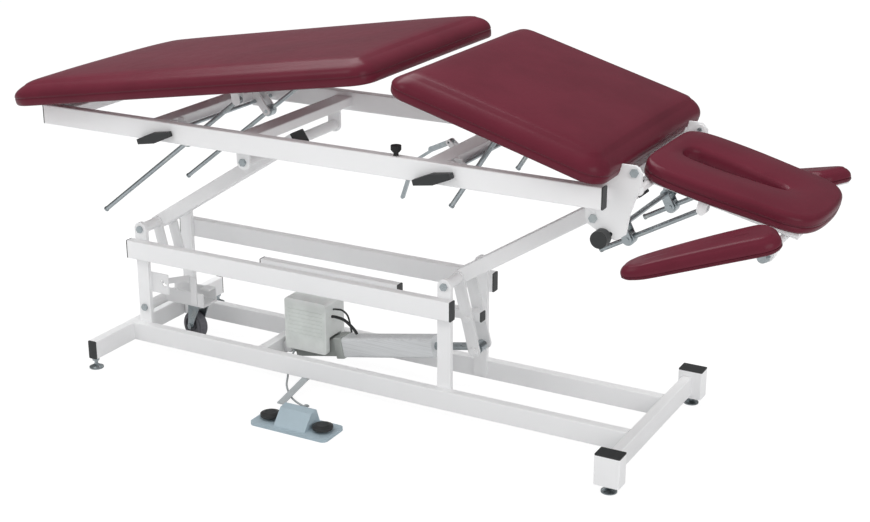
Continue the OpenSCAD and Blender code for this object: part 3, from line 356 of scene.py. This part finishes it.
def powder_coat(name, rgb, peel):
    """Powder coat: orange peel, slow shade changes, slightly lighter convex edges and a few marks."""
    finish = Surface(name, 0.38, specular=0.4)
    bumps = finish.noise(peel, 3)
    shade = finish.noise(0.25, 2).step(0.3, 0.75)
    marks = finish.noise(0.02, 6, 0.7).step(0.66, 0.8)
    finish.colour(rgb, (tint(rgb, 0.93), shade), (tint(rgb, 1.04), finish.edge() * 0.6),
                  (tint(rgb, 0.82), marks * 0.25))
    finish.roughness(bumps * 0.12 + 0.33)
    finish.bump(bumps, 0.00018, 0.5)
    return finish.material


def zinc(name, rgb):
    """Bright zinc plate: bluish with pale patches and fine draw lines."""
    finish = Surface(name, 0.3, 1.0)
    lines = finish.noise(0.004, 3, 0.6, (0.12, 1, 1))
    bloom = finish.noise(0.03, 3).step(0.5, 0.75)
    finish.colour(rgb, (tint(rgb, 0.8), finish.cell_tint(0.012) * 0.5), ((0.72, 0.74, 0.68), bloom * 0.35))
    finish.roughness(lines * 0.2 + 0.2)
    finish.bump(lines, 0.00008, 0.5)
    return finish.material


def moulded(name, rgb, roughness):
    """Moulded plastic with a fine spark-eroded grain and rubbed edges."""
    finish = Surface(name, roughness)
    grain = finish.noise(0.0012, 4, 0.7)
    shade = finish.noise(0.06, 3).step(0.35, 0.7)
    finish.colour(rgb, (tint(rgb, 0.8), shade * 0.6), (tint(rgb, 1.5), finish.edge() * 0.5))
    finish.roughness(grain * 0.2 + (roughness - 0.1))
    finish.bump(grain, 0.00012, 0.5)
    return finish.material


def rubber(name, rgb):
    """Matt rubber with dust in its pores."""
    finish = Surface(name, 0.8)
    pores = finish.noise(0.0015, 5, 0.7)
    dust = finish.noise(0.018).step(0.5, 0.8)
    finish.colour(rgb, ((0.10, 0.10, 0.10), dust * 0.35))
    finish.roughness(pores * 0.2 + 0.68)
    finish.bump(pores, 0.0001, 0.5)
    return finish.material


def aluminium(name, rgb):
    """Drawn aluminium: long fine lines along the tube, which leans with the actuator."""
    finish = Surface(name, 0.3, 0.2)
    lines = finish.noise(0.002, 4, 0.7, (0.01, 1, 1), ACTUATOR_PITCH)
    finish.colour(rgb, (tint(rgb, 0.82), lines.step(0.4, 0.7)))
    finish.roughness(lines * 0.2 + 0.28)
    finish.bump(lines, 0.00006, 0.5)
    return finish.material


def thread(name, rgb):
    """Twisted sewing thread."""
    finish = Surface(name, 0.6)
    twist = finish.noise(0.0007, 2, 0.5, (1, 1, 2))
    finish.colour(rgb, (tint(rgb, 0.5), twist.step(0.45, 0.6)))
    finish.bump(twist, 0.0001, 0.6)
    return finish.material


FINISHES = {}


def finishes():
    """The finishes by name, made once."""
    if not FINISHES:
        vinyl_set = bpy.context.scene.table_vinyl
        metal_set = bpy.context.scene.table_metal
        wine = tuple(vinyl_set.top)
        coat = tuple(metal_set.coat)
        FINISHES.update(
            wine_vinyl=vinyl("wine_vinyl", wine, vinyl_set.grain),
            white_coat=powder_coat("white_coat", coat, metal_set.peel),
            pale_coat=powder_coat("pale_coat", tint(coat, 0.92), metal_set.peel),
            zinc=zinc("zinc", (0.46, 0.51, 0.53)),
            black_plastic=moulded("black_plastic", (0.028, 0.030, 0.031), 0.5),
            black_rubber=rubber("black_rubber", (0.018, 0.018, 0.019)),
            grey_plastic=moulded("grey_plastic", (0.13, 0.13, 0.145), 0.55),
            switch_plastic=moulded("switch_plastic", (0.36, 0.45, 0.50), 0.5),
            box_plastic=moulded("box_plastic", (0.80, 0.84, 0.81), 0.5),
            cast_grey=moulded("cast_grey", (0.36, 0.38, 0.365), 0.45),
            cable_grey=moulded("cable_grey", (0.40, 0.43, 0.44), 0.5),
            drawn_aluminium=aluminium("drawn_aluminium", (0.88, 0.90, 0.91)),
            thread=thread("thread", tint(wine, 0.8)))
    return FINISHES


def add_mesh(name, points, faces, finish, body, smooth=True, seam_shade=None):
    """A mesh piece at the origin with the given points and faces, riding on a body."""
    mesh = bpy.data.meshes.new(name)
    mesh.from_pydata(points.reshape(-1, 3).tolist(), [], faces)
    if smooth:
        mesh.polygons.foreach_set("use_smooth", np.ones(len(mesh.polygons), dtype=bool))
    # weights of the painted shade in the seam's groove, which the vinyl's finish reads
    if seam_shade is not None:
        layer = mesh.attributes.new("seam_shade", "FLOAT", "POINT")
        layer.data.foreach_set("value", seam_shade.ravel().astype(np.float32))
    mesh.materials.append(finishes()[finish])
    mesh.update()
    mesh.validate()
    piece = bpy.data.objects.new(name, mesh)
    bpy.context.scene.collection.objects.link(piece)
    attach(piece, body)
    return piece


def grid_faces(rows, cols, wrap_rows=False):
    """Quads of a grid of points, row by row, whose columns close on themselves, and whose rows may."""
    r, c = np.meshgrid(np.arange(rows if wrap_rows else rows - 1), np.arange(cols), indexing="ij")
    ahead = (r + 1) % rows
    beside = (c + 1) % cols
    corners = (r * cols + c, r * cols + beside, ahead * cols + beside, ahead * cols + c)
    return np.stack(corners, -1).reshape(-1, 4).tolist()


def end_caps(rows, cols):
    """The face over the first row of such a grid, and the one over its last."""
    count = rows * cols
    return [tuple(range(cols - 1, -1, -1)), tuple(range(count - cols, count))]


def fan(ring, centre):
    """Triangles from each edge of a closed ring of point numbers to its centre."""
    ring = np.array(ring)
    return np.stack([ring, np.roll(ring, -1), np.full(len(ring), centre)], -1).tolist()


def turned(points, angle, pivot):
    """Points of a section's own frame put in the table's frame. They turn about Y so that +X rises by the
    angle: x' = x cos a - z sin a and z' = x sin a + z cos a, from the pivot (x, z)."""
    out = points.copy()
    x, z = points[..., 0], points[..., 2]
    out[..., 0] = pivot[0] + x * math.cos(angle) - z * math.sin(angle)
    out[..., 2] = pivot[1] + x * math.sin(angle) + z * math.cos(angle)
    return out


def outline(length, width, radii, count):
    """Points and outward normals of a rectangle from x = 0 to length, with corners of the radii at its two
    ends: quarter circles c + r (cos a, sin a) joined by straight runs, spaced evenly along the line."""
    start, end = radii
    half = width / 2
    corners = (((start, -half + start), start, 180), ((length - end, -half + end), end, 270),
               ((length - end, half - end), end, 0), ((start, half - start), start, 90))
    arcs = []
    for (cx, cy), radius, first in corners:
        turn = np.radians(first + np.linspace(0, 90, ARC_COUNT))
        arcs.append(np.stack([cx + radius * np.cos(turn), cy + radius * np.sin(turn), np.cos(turn),
                              np.sin(turn)], -1))
    loop = np.concatenate(arcs + [arcs[0][:1]])
    run = np.concatenate([[0], np.cumsum(np.linalg.norm(np.diff(loop[:, :2], axis=0), axis=1))])
    at = np.linspace(0, run[-1], count, endpoint=False)
    out = np.stack([np.interp(at, run, loop[:, k]) for k in range(4)], -1)
    out[:, 2:] /= np.linalg.norm(out[:, 2:], axis=1, keepdims=True)
    return out[:, :2], out[:, 2:]


def cushion_profile(thick, seam, roll, limit):
    """Inset and height of a cushion's rings, and the number of rings of its side. The cover is tucked under
    the board, has a groove at the seam, rolls over the top edge in a quarter ellipse of the roll's run and
    height, and is level from there to the limit."""
    run, height = roll
    turn = np.linspace(0, np.pi / 2, ROLL_COUNT)
    share = (np.arange(1, TOP_COUNT + 1) / TOP_COUNT) ** 0.9
    parts = (np.array(BOARD_RINGS), np.array(SEAM_RINGS) + (0, seam),
             np.stack([run * (1 - np.cos(turn)), thick - height + height * np.sin(turn)], -1),
             np.stack([run + (limit - run) * share, np.full(TOP_COUNT, thick)], -1))
    return np.concatenate(parts), len(BOARD_RINGS) + len(SEAM_RINGS) + ROLL_COUNT


def cushion_points(length, width, radii, thick, crown, seam, roll, draw=0.003, pucker=0.0006, count=360):
    """Points (rings, count, 3) and seam shade of an upholstered board, the weights of the painted shade in
    its seam's groove. Each ring is the outline drawn in by the profile's inset. Its sides are pulled in by
    draw (1 - s^2), with s from -1 to 1 between the corners, and small puckers, a sum of two sines along the
    ring, fan out from each corner. Both fade out over the first four rings of the top. The top and the last
    five rings of its roll rise by crown (1 - |x|^6) (1 - |y|^3.2), with x and y from -1 to 1. A ring's corner
    radius is the outline's less its inset, but not under a quarter of it that shrinks inwards."""
    edge, normal = outline(length, width, radii, count)
    limit = min(width, length) / 2 - MIDDLE_GAP
    profile, side = cushion_profile(thick, seam, roll, limit)
    row = np.arange(len(profile))[:, None]
    rings = []
    for inset in profile[:, 0]:
        drawn = [max(radius - inset, 0.25 * radius * (1 - inset / limit) + 0.0015) for radius in radii]
        ring = outline(length - 2 * inset, width - 2 * inset, drawn, count)[0]
        rings.append(ring + (inset, 0))
    xy = np.stack(rings)
    along = np.abs(2 * edge[:, 0] / length - 1)
    across = np.abs(edge[:, 1] / (width / 2))
    facing = np.abs(normal)
    pull = draw * (np.clip(1 - along ** 2, 0, 1) * facing[:, 1]
                   + np.clip(1 - across ** 2, 0, 1) * facing[:, 0])
    # 0 on the straight sides and 1 in the middle of a corner, where the normal leans 45 degrees
    corner = np.clip((1 - facing.max(1)) / 0.29, 0, 1)
    place = np.arange(count)
    ripple = corner * (np.sin(place * 0.9) + 0.6 * np.sin(place * 0.53 + 1.3))
    fade = np.clip(1 - (row - side + 1) / 4, 0, 1)
    xy = xy + normal * ((ripple * pucker * (row > 1) - pull) * fade)[..., None]
    x = np.abs(xy[..., 0] / length * 2 - 1)
    y = np.abs(xy[..., 1] / (width / 2))
    lift = crown * np.clip(1 - x ** 6, 0, 1) * np.clip(1 - y ** 3.2, 0, 1)
    z = profile[:, 1:] + lift * (row >= side - 5)
    # weights of the painted shade in the seam's groove
    seam_shade = np.zeros(z.shape)
    seam_shade[SEAM_RING - 1:SEAM_RING + 2] = np.array(SEAM_SHADE)[:, None]
    return np.concatenate([xy, z[..., None]], -1), seam_shade


def add_cushion(name, points, seam_shade, body):
    """Closes the rings of a cushion with a fan above and below."""
    rows, cols = points.shape[:2]
    count = rows * cols
    caps = np.stack([points[-1].mean(0), points[0].mean(0)])
    closed = np.concatenate([points.reshape(-1, 3), caps])
    faces = grid_faces(rows, cols)
    faces += fan(range(count - cols, count), count)
    faces += fan(range(cols - 1, -1, -1), count + 1)
    return add_mesh(name, closed, faces, "wine_vinyl", body, True,
                    np.concatenate([seam_shade.ravel(), [0, 0]]))


def add_stitches(name, line, pitch, body):
    """A row of raised stitches along a closed line, one bead of thread each pitch. A bead is an ellipsoid
    (share of the pitch x sin b, r cos b cos a, r cos b sin a) along the line, across it and up."""
    out = line - line.mean(0)
    out[:, 2] = 0
    out /= np.linalg.norm(out, axis=1, keepdims=True)
    loop = np.vstack([line, line[:1]])
    side = np.vstack([out, out[:1]])
    run = np.concatenate([[0], np.cumsum(np.linalg.norm(np.diff(loop, axis=0), axis=1))])
    count = int(run[-1] / pitch)
    at = (np.arange(count) + 0.5) * run[-1] / count

    def along(values, where):
        return np.stack([np.interp(where, run, values[:, k]) for k in range(3)], -1)

    centre = along(loop, at)
    ahead = along(loop, (at + pitch * 0.2) % run[-1]) - centre
    ahead /= np.linalg.norm(ahead, axis=1, keepdims=True)
    outward = along(side, at)
    outward /= np.linalg.norm(outward, axis=1, keepdims=True)
    up = np.cross(ahead, outward)
    b, a = np.meshgrid(np.linspace(-0.5 * np.pi + BEAD_CUT, 0.5 * np.pi - BEAD_CUT, BEAD_RINGS),
                       np.linspace(0, 2 * np.pi, BEAD_SIDES, endpoint=False), indexing="ij")
    bead = np.stack([np.sin(b) * pitch * BEAD_SHARE, np.cos(b) * np.cos(a) * STITCH_RADIUS,
                     np.cos(b) * np.sin(a) * STITCH_RADIUS], -1).reshape(-1, 3)
    points = centre[:, None] + bead @ np.stack([ahead, outward, up], 1)
    starts = np.arange(count)[:, None, None] * len(bead)
    quads = np.array(grid_faces(BEAD_RINGS, BEAD_SIDES)) + starts
    caps = np.array(end_caps(BEAD_RINGS, BEAD_SIDES)) + starts
    faces = quads.reshape(-1, 4).tolist() + caps.reshape(-1, BEAD_SIDES).tolist()
    return add_mesh(name, points, faces, "thread", body)


def smooth_loop(points, times):
    """Closed four-point subdivision: new points at -1, 9, 9, -1 sixteenths of their neighbours."""
    for _ in range(times):
        before, after, beyond = np.roll(points, 1, 0), np.roll(points, -1, 0), np.roll(points, -2, 0)
        middle = (9 * (points + after) - before - beyond) / 16
        points = np.stack([points, middle], 1).reshape(-1, points.shape[1])
    return points


def full_route(points, steps):
    """Points of a smooth curve through the route's points, a number of steps to each stretch. A stretch is
    the cubic whose tangent at each end is half the way between that point's two neighbours."""
    p = np.array(points)
    last = len(p) - 1
    place = np.arange(last)
    a, b, c, d = (p[np.clip(place + k, 0, last)][:, None] for k in (-1, 0, 1, 2))
    t = (np.arange(steps) / steps)[:, None]
    curve = (b + (c - a) / 2 * t + (a - 2.5 * b + 2 * c - d / 2) * t ** 2
             + (1.5 * (b - c) + (d - a) / 2) * t ** 3)
    return np.concatenate([curve.reshape(-1, 3), p[-1:]])


def tube_points(route, radius, sides):
    """Rings r (cos a u + sin a v) round each point of a route, with u and v square to it and carried along
    it without a twist."""
    way = np.gradient(route, axis=0)
    way /= np.linalg.norm(way, axis=1, keepdims=True)
    # square to the route's start and to a direction that no stretch of it has
    u = np.cross(way[0], (0.31, 0.17, 0.93))
    across = []
    for ahead in way:
        u = u - ahead * np.dot(u, ahead)
        u = u / np.linalg.norm(u)
        across.append(u)
    across = np.array(across)[:, None]
    a = np.linspace(0, 2 * np.pi, sides, endpoint=False)[None, :, None]
    return route[:, None] + radius * (np.cos(a) * across + np.sin(a) * np.cross(way[:, None], across))


def head_profile():
    """Share of the way from the outer edge to the slot, and height, of the head cushion's rings: tucked
    under, seam, quarter ellipse over the edge, crowned top, quarter ellipse into the slot, tucked under."""
    number = np.arange(1, HEAD_COUNT + 1)
    turn = np.pi / 2 * number / HEAD_COUNT
    part = number / (HEAD_COUNT + 1)
    roll, roll_foot, roll_rise = HEAD_ROLL
    top, top_foot, top_rise = HEAD_TOP
    lip, lip_foot, lip_rise = HEAD_LIP
    return np.concatenate([
        HEAD_UNDER_RINGS, np.array(HEAD_SEAM_RINGS) + (0, HEAD_SEAM), HEAD_ROLL_FOOT,
        np.stack([roll * (1 - np.cos(turn)), roll_foot + roll_rise * np.sin(turn)], -1),
        np.stack([roll + top * part, top_foot + top_rise * np.sin(np.pi * part)], -1),
        np.stack([roll + top + lip * np.sin(turn), lip_foot + lip_rise * np.cos(turn)], -1),
        HEAD_SLOT_RINGS])


def head_loop(shares):
    """A closed line from the shares of one half, mirrored, smoothed and put to the head cushion's size."""
    half = np.array(shares, dtype=float)
    back = half[-2:0:-1] * (1, -1)
    return smooth_loop(np.concatenate([half, back]), 3) * HEAD_SIZE


def arm_points(points, side):
    """Points of a pad's own frame put at an armrest: pitched down from the blunt end, then turned to its
    heading, and mirrored in Y for the far side."""
    x, y, z = points[..., 0], points[..., 1], points[..., 2] - ARM_THICK / 2
    level = x * math.cos(ARM_PITCH) + z * math.sin(ARM_PITCH)
    height = z * math.cos(ARM_PITCH) - x * math.sin(ARM_PITCH)
    return np.stack([
        ARM_PLACE[0] + level * math.cos(ARM_HEADING) - y * math.sin(ARM_HEADING),
        -side * (ARM_PLACE[1] + level * math.sin(ARM_HEADING) + y * math.cos(ARM_HEADING)),
        ARM_PLACE[2] + height], -1)


class TABLE_OT_camera(Operator):
    """Place the camera at the photograph's viewing angle."""
    bl_idname = "table.camera"
    bl_label = "Camera"

    def execute(self, context):
        camera = bpy.data.cameras.new("camera")
        camera.lens = context.scene.table_stage.lens
        camera.sensor_width = 36
        camera.clip_end = 100
        holder = bpy.data.objects.new("camera", camera)
        holder.location = CAMERA_PLACE
        holder.rotation_euler = (math.pi / 2 - CAMERA_DOWN, 0, CAMERA_TURN)
        context.scene.collection.objects.link(holder)
        context.scene.camera = holder
        return {"FINISHED"}


class TABLE_OT_cable(Operator):
    """Run the foot switch's cable from the control box to the switch."""
    bl_idname = "table.cable"
    bl_label = "Switch cable"

    def execute(self, context):
        route = full_route(CABLE_ROUTE, CABLE_STEPS)
        rings = tube_points(route, CABLE_RADIUS, CABLE_SIDES)
        faces = grid_faces(*rings.shape[:2]) + end_caps(*rings.shape[:2])
        cable = add_mesh("switch_lead", rings, faces, "cable_grey", "base")
        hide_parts("switch_cable")
        return {"FINISHED"}


class TABLE_OT_finishes(Operator):
    """Give every carried-over CAD piece its finish."""
    bl_idname = "table.finishes"
    bl_label = "Finishes"

    def execute(self, context):
        slots = {row["node"]: row["material_slot"] for row in frame["record"]["subparts"]}
        for name, piece in frame["nodes"].items():
            finish = finishes()[OTHER_FINISH.get(name, slots[name])]
            if piece.data.materials:
                for slot in piece.material_slots:
                    slot.link = "OBJECT"
                    slot.material = finish
            else:
                piece.data.materials.append(finish)
        return {"FINISHED"}


class TABLE_OT_cushions(Operator):
    """Upholster the leg and middle sections. The foam slopes down to the foot end: over the slope's length,
    a point loses a share of its height over the seam, by the square of its nearness to that end."""
    bl_idname = "table.cushions"
    bl_label = "Leg and middle cushions"

    def execute(self, context):
        vinyl_set = context.scene.table_vinyl
        for name, node, body, length, radii, tilt, hinge, start, slope in SECTION_CUSHIONS:
            points, seam_shade = cushion_points(length, SECTION_WIDTH, radii, SECTION_THICK, vinyl_set.crown,
                                            vinyl_set.seam, SECTION_ROLL)
            near_foot = np.clip(1 - points[..., 0] / slope, 0, 1) ** 2
            points[..., 2] -= near_foot * SLOPE_SHARE * np.clip(points[..., 2] - vinyl_set.seam, 0, None)
            placed = turned(points + (start[0], 0, start[1]), tilt, hinge)
            cushion = add_cushion(name, placed, seam_shade, body)
            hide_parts(node)
            add_stitches(name + "_stitches", placed[SEAM_RING + STITCH_ABOVE], SECTION_STITCH, body)
        return {"FINISHED"}


class TABLE_OT_head(Operator):
    """Upholster the head section round its face slot. Each ring lies its share of the way from the outline
    to the slot, at its height."""
    bl_idname = "table.head"
    bl_label = "Head cushion"

    def execute(self, context):
        outer, inner = head_loop(HEAD_SHARES), head_loop(SLOT_SHARES)
        profile = head_profile()
        share = profile[None, :, :1]
        xy = outer[:, None] * (1 - share) + inner[:, None] * share
        z = np.broadcast_to(profile[None, :, 1:], xy.shape[:2] + (1,))
        # weights of the painted shade in the seam's groove
        seam_shade = np.zeros(xy.shape[:2])
        seam_shade[:, HEAD_SEAM_RING - 1:HEAD_SEAM_RING + 2] = SEAM_SHADE
        placed = turned(np.concatenate([xy, z], -1) + HEAD_START, -HEAD_TILT, HEAD_HINGE)
        # turned round to point outwards
        faces = [face[::-1] for face in grid_faces(*xy.shape[:2], wrap_rows=True)]
        cushion = add_mesh("head_upholstery", placed, faces, "wine_vinyl", "head_section",
                           True, seam_shade)
        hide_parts("head_cushion")
        line = placed[:, HEAD_SEAM_RING + STITCH_ABOVE]
        add_stitches("head_stitches", line, HEAD_STITCH, "head_section")
        return {"FINISHED"}


class TABLE_OT_armrests(Operator):
    """Upholster the two armrests. A pad is a small cushion that gets narrower and thinner from its blunt end
    to its tip, by powers of its reach, and bends sideways in half a sine wave."""
    bl_idname = "table.armrests"
    bl_label = "Armrests"

    def execute(self, context):
        points, seam_shade = cushion_points(ARM_LENGTH, ARM_WIDTH, ARM_RADII, ARM_THICK, ARM_CROWN, ARM_SEAM,
                                        ARM_ROLL, draw=0.001, pucker=0.0004, count=200)
        points[..., 0] = ARM_LENGTH - points[..., 0]
        reach = np.clip(points[..., 0] / ARM_LENGTH, 0, 1)
        even, late, power = ARM_NARROWING
        points[..., 1] *= 1 - even * reach - late * reach ** power
        points[..., 1] -= ARM_BEND * np.sin(np.pi * reach)
        points[..., 2] = ARM_THICK - (ARM_THICK - points[..., 2]) * (1 - ARM_THINNING * reach ** 2)
        for name, side, order in (("near", -1, -1), ("far", 1, 1)):
            pad = add_cushion("armrest_%s_upholstery" % name, arm_points(points[:, ::order], side), seam_shade,
                              "armrest_" + name)
            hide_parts("armrest_%s_pad" % name)
        return {"FINISHED"}


class TABLE_OT_knobs(Operator):
    """Put the zinc clamping knobs on the armrests' joints: a profile turned about the joint's axis, whose
    wider ring has knurls."""
    bl_idname = "table.knobs"
    bl_label = "Armrest knobs"

    def execute(self, context):
        turn = np.linspace(0, 2 * np.pi, KNOB_SIDES, endpoint=False)
        radius, reach = np.array(KNOB_PROFILE).T[:, :, None]
        radius = radius * (1 + KNURL_DEPTH * np.cos(KNURLS * turn) * (radius > KNURLED_FROM))
        for name, side in (("near", -1), ("far", 1)):
            rings = np.stack([KNOB_PLACE[0] + radius * np.cos(turn),
                              side * (KNOB_PLACE[1] + reach) * np.ones(KNOB_SIDES),
                              KNOB_PLACE[2] - side * radius * np.sin(turn)], -1)
            faces = grid_faces(*rings.shape[:2]) + end_caps(*rings.shape[:2])
            add_mesh("armrest_%s_knob" % name, rings, faces, "zinc", "armrest_" + name, False)
        return {"FINISHED"}


class TABLE_OT_stage(Operator):
    """Put down the floor and hang the lamps."""
    bl_idname = "table.stage"
    bl_label = "Stage"

    def surround(self, level):
        """A plain surround that the camera sees white, and gloss sees dimmer than it lights."""
        world = bpy.data.worlds.new("surround")
        bpy.context.scene.world = world
        world.use_nodes = True
        shader = Shader(world.node_tree)
        gloss = shader.node("ShaderNodeLightPath", output="Is Glossy Ray")
        seen = shader.node("ShaderNodeLightPath", output="Is Camera Ray")
        back = world.node_tree.nodes["Background"]
        shader.feed(back, {"Color": WHITE, "Strength": gloss * (-GLOSS_DIMMING * level) + level})
        light = Sock(shader, back.outputs[0])
        clear = shader.node("ShaderNodeBackground", None, {"Color": WHITE})
        mix = shader.node("ShaderNodeMixShader", None, {0: seen, 1: light, 2: clear})
        shader.feed(world.node_tree.nodes["World Output"], {"Surface": mix})

    def floor(self):
        """A pale floor that the camera sees near white, with the table's shadow on it."""
        finish = Surface("floor", 0.9)
        finish.colour((0.66, 0.66, 0.67), ((0.70, 0.70, 0.70), finish.noise(1.5, 2)))
        share = finish.node("ShaderNodeLightPath", output="Is Camera Ray") * GLOW_SHARE
        plain = Sock(finish, finish.bsdf.outputs[0])
        glow = finish.node("ShaderNodeEmission", None, {"Color": WHITE, "Strength": FLOOR_GLOW})
        mix = finish.node("ShaderNodeMixShader", None, {0: share, 1: plain, 2: glow})
        finish.feed(finish.tree.nodes["Material Output"], {"Surface": mix})
        mesh = bpy.data.meshes.new("floor")
        corners = [(x * FLOOR_HALF, y * FLOOR_HALF, -FLOOR_DROP)
                   for x, y in ((-1, -1), (1, -1), (1, 1), (-1, 1))]
        mesh.from_pydata(corners, [], [(0, 1, 2, 3)])
        mesh.materials.append(finish.material)
        floor = bpy.data.objects.new("floor", mesh)
        bpy.context.scene.collection.objects.link(floor)

    def lamp(self, name, place, size, power):
        """A square lamp that looks at the middle of the table."""
        light = bpy.data.lights.new(name, "AREA")
        light.energy = power
        light.size = size
        holder = bpy.data.objects.new(name, light)
        holder.location = place
        x, y, z = np.array(LAMP_AIM) - place
        rise = math.atan2(z, math.hypot(x, y))
        holder.rotation_euler = (math.pi / 2 + rise, 0, math.atan2(y, x) - math.pi / 2)
        bpy.context.scene.collection.objects.link(holder)

    def execute(self, context):
        stage = context.scene.table_stage
        context.scene.view_settings.view_transform = "Standard"
        self.surround(stage.sky)
        self.floor()
        self.lamp("key", *KEY_LAMP, stage.key)
        self.lamp("fill", *FILL_LAMP, stage.fill)
        self.lamp("top", *TOP_LAMP, stage.key * TOP_OVER_KEY)
        return {"FINISHED"}


class TABLE_PT_panel(Panel):
    """The table's settings and steps."""
    bl_label = "Treatment table"
    bl_idname = "TABLE_PT_panel"
    bl_space_type = "VIEW_3D"
    bl_region_type = "UI"
    bl_category = "Table"

    def draw(self, context):
        scene = context.scene
        for group in (scene.table_vinyl, scene.table_metal, scene.table_stage):
            box = self.layout.box()
            for name in group.__annotations__:
                box.prop(group, name)
        for step in STEPS:
            self.layout.operator("table." + step)


STEPS = ("camera", "cable", "finishes", "cushions", "head", "armrests", "knobs", "stage")
CLASSES = (
    TableVinyl, TableMetal, TableStage, TABLE_OT_camera, TABLE_OT_cable, TABLE_OT_finishes, TABLE_OT_cushions,
    TABLE_OT_head, TABLE_OT_armrests, TABLE_OT_knobs, TABLE_OT_stage, TABLE_PT_panel)


def register():
    for cls in CLASSES:
        bpy.utils.register_class(cls)
    bpy.types.Scene.table_vinyl = PointerProperty(type=TableVinyl)
    bpy.types.Scene.table_metal = PointerProperty(type=TableMetal)
    bpy.types.Scene.table_stage = PointerProperty(type=TableStage)


def unregister():
    del bpy.types.Scene.table_vinyl
    del bpy.types.Scene.table_metal
    del bpy.types.Scene.table_stage
    for cls in reversed(CLASSES):
        bpy.utils.unregister_class(cls)


def main():
    register()
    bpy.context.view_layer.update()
    for step in STEPS:
        getattr(bpy.ops.table, step)()


if __name__ == "__main__":
    main()
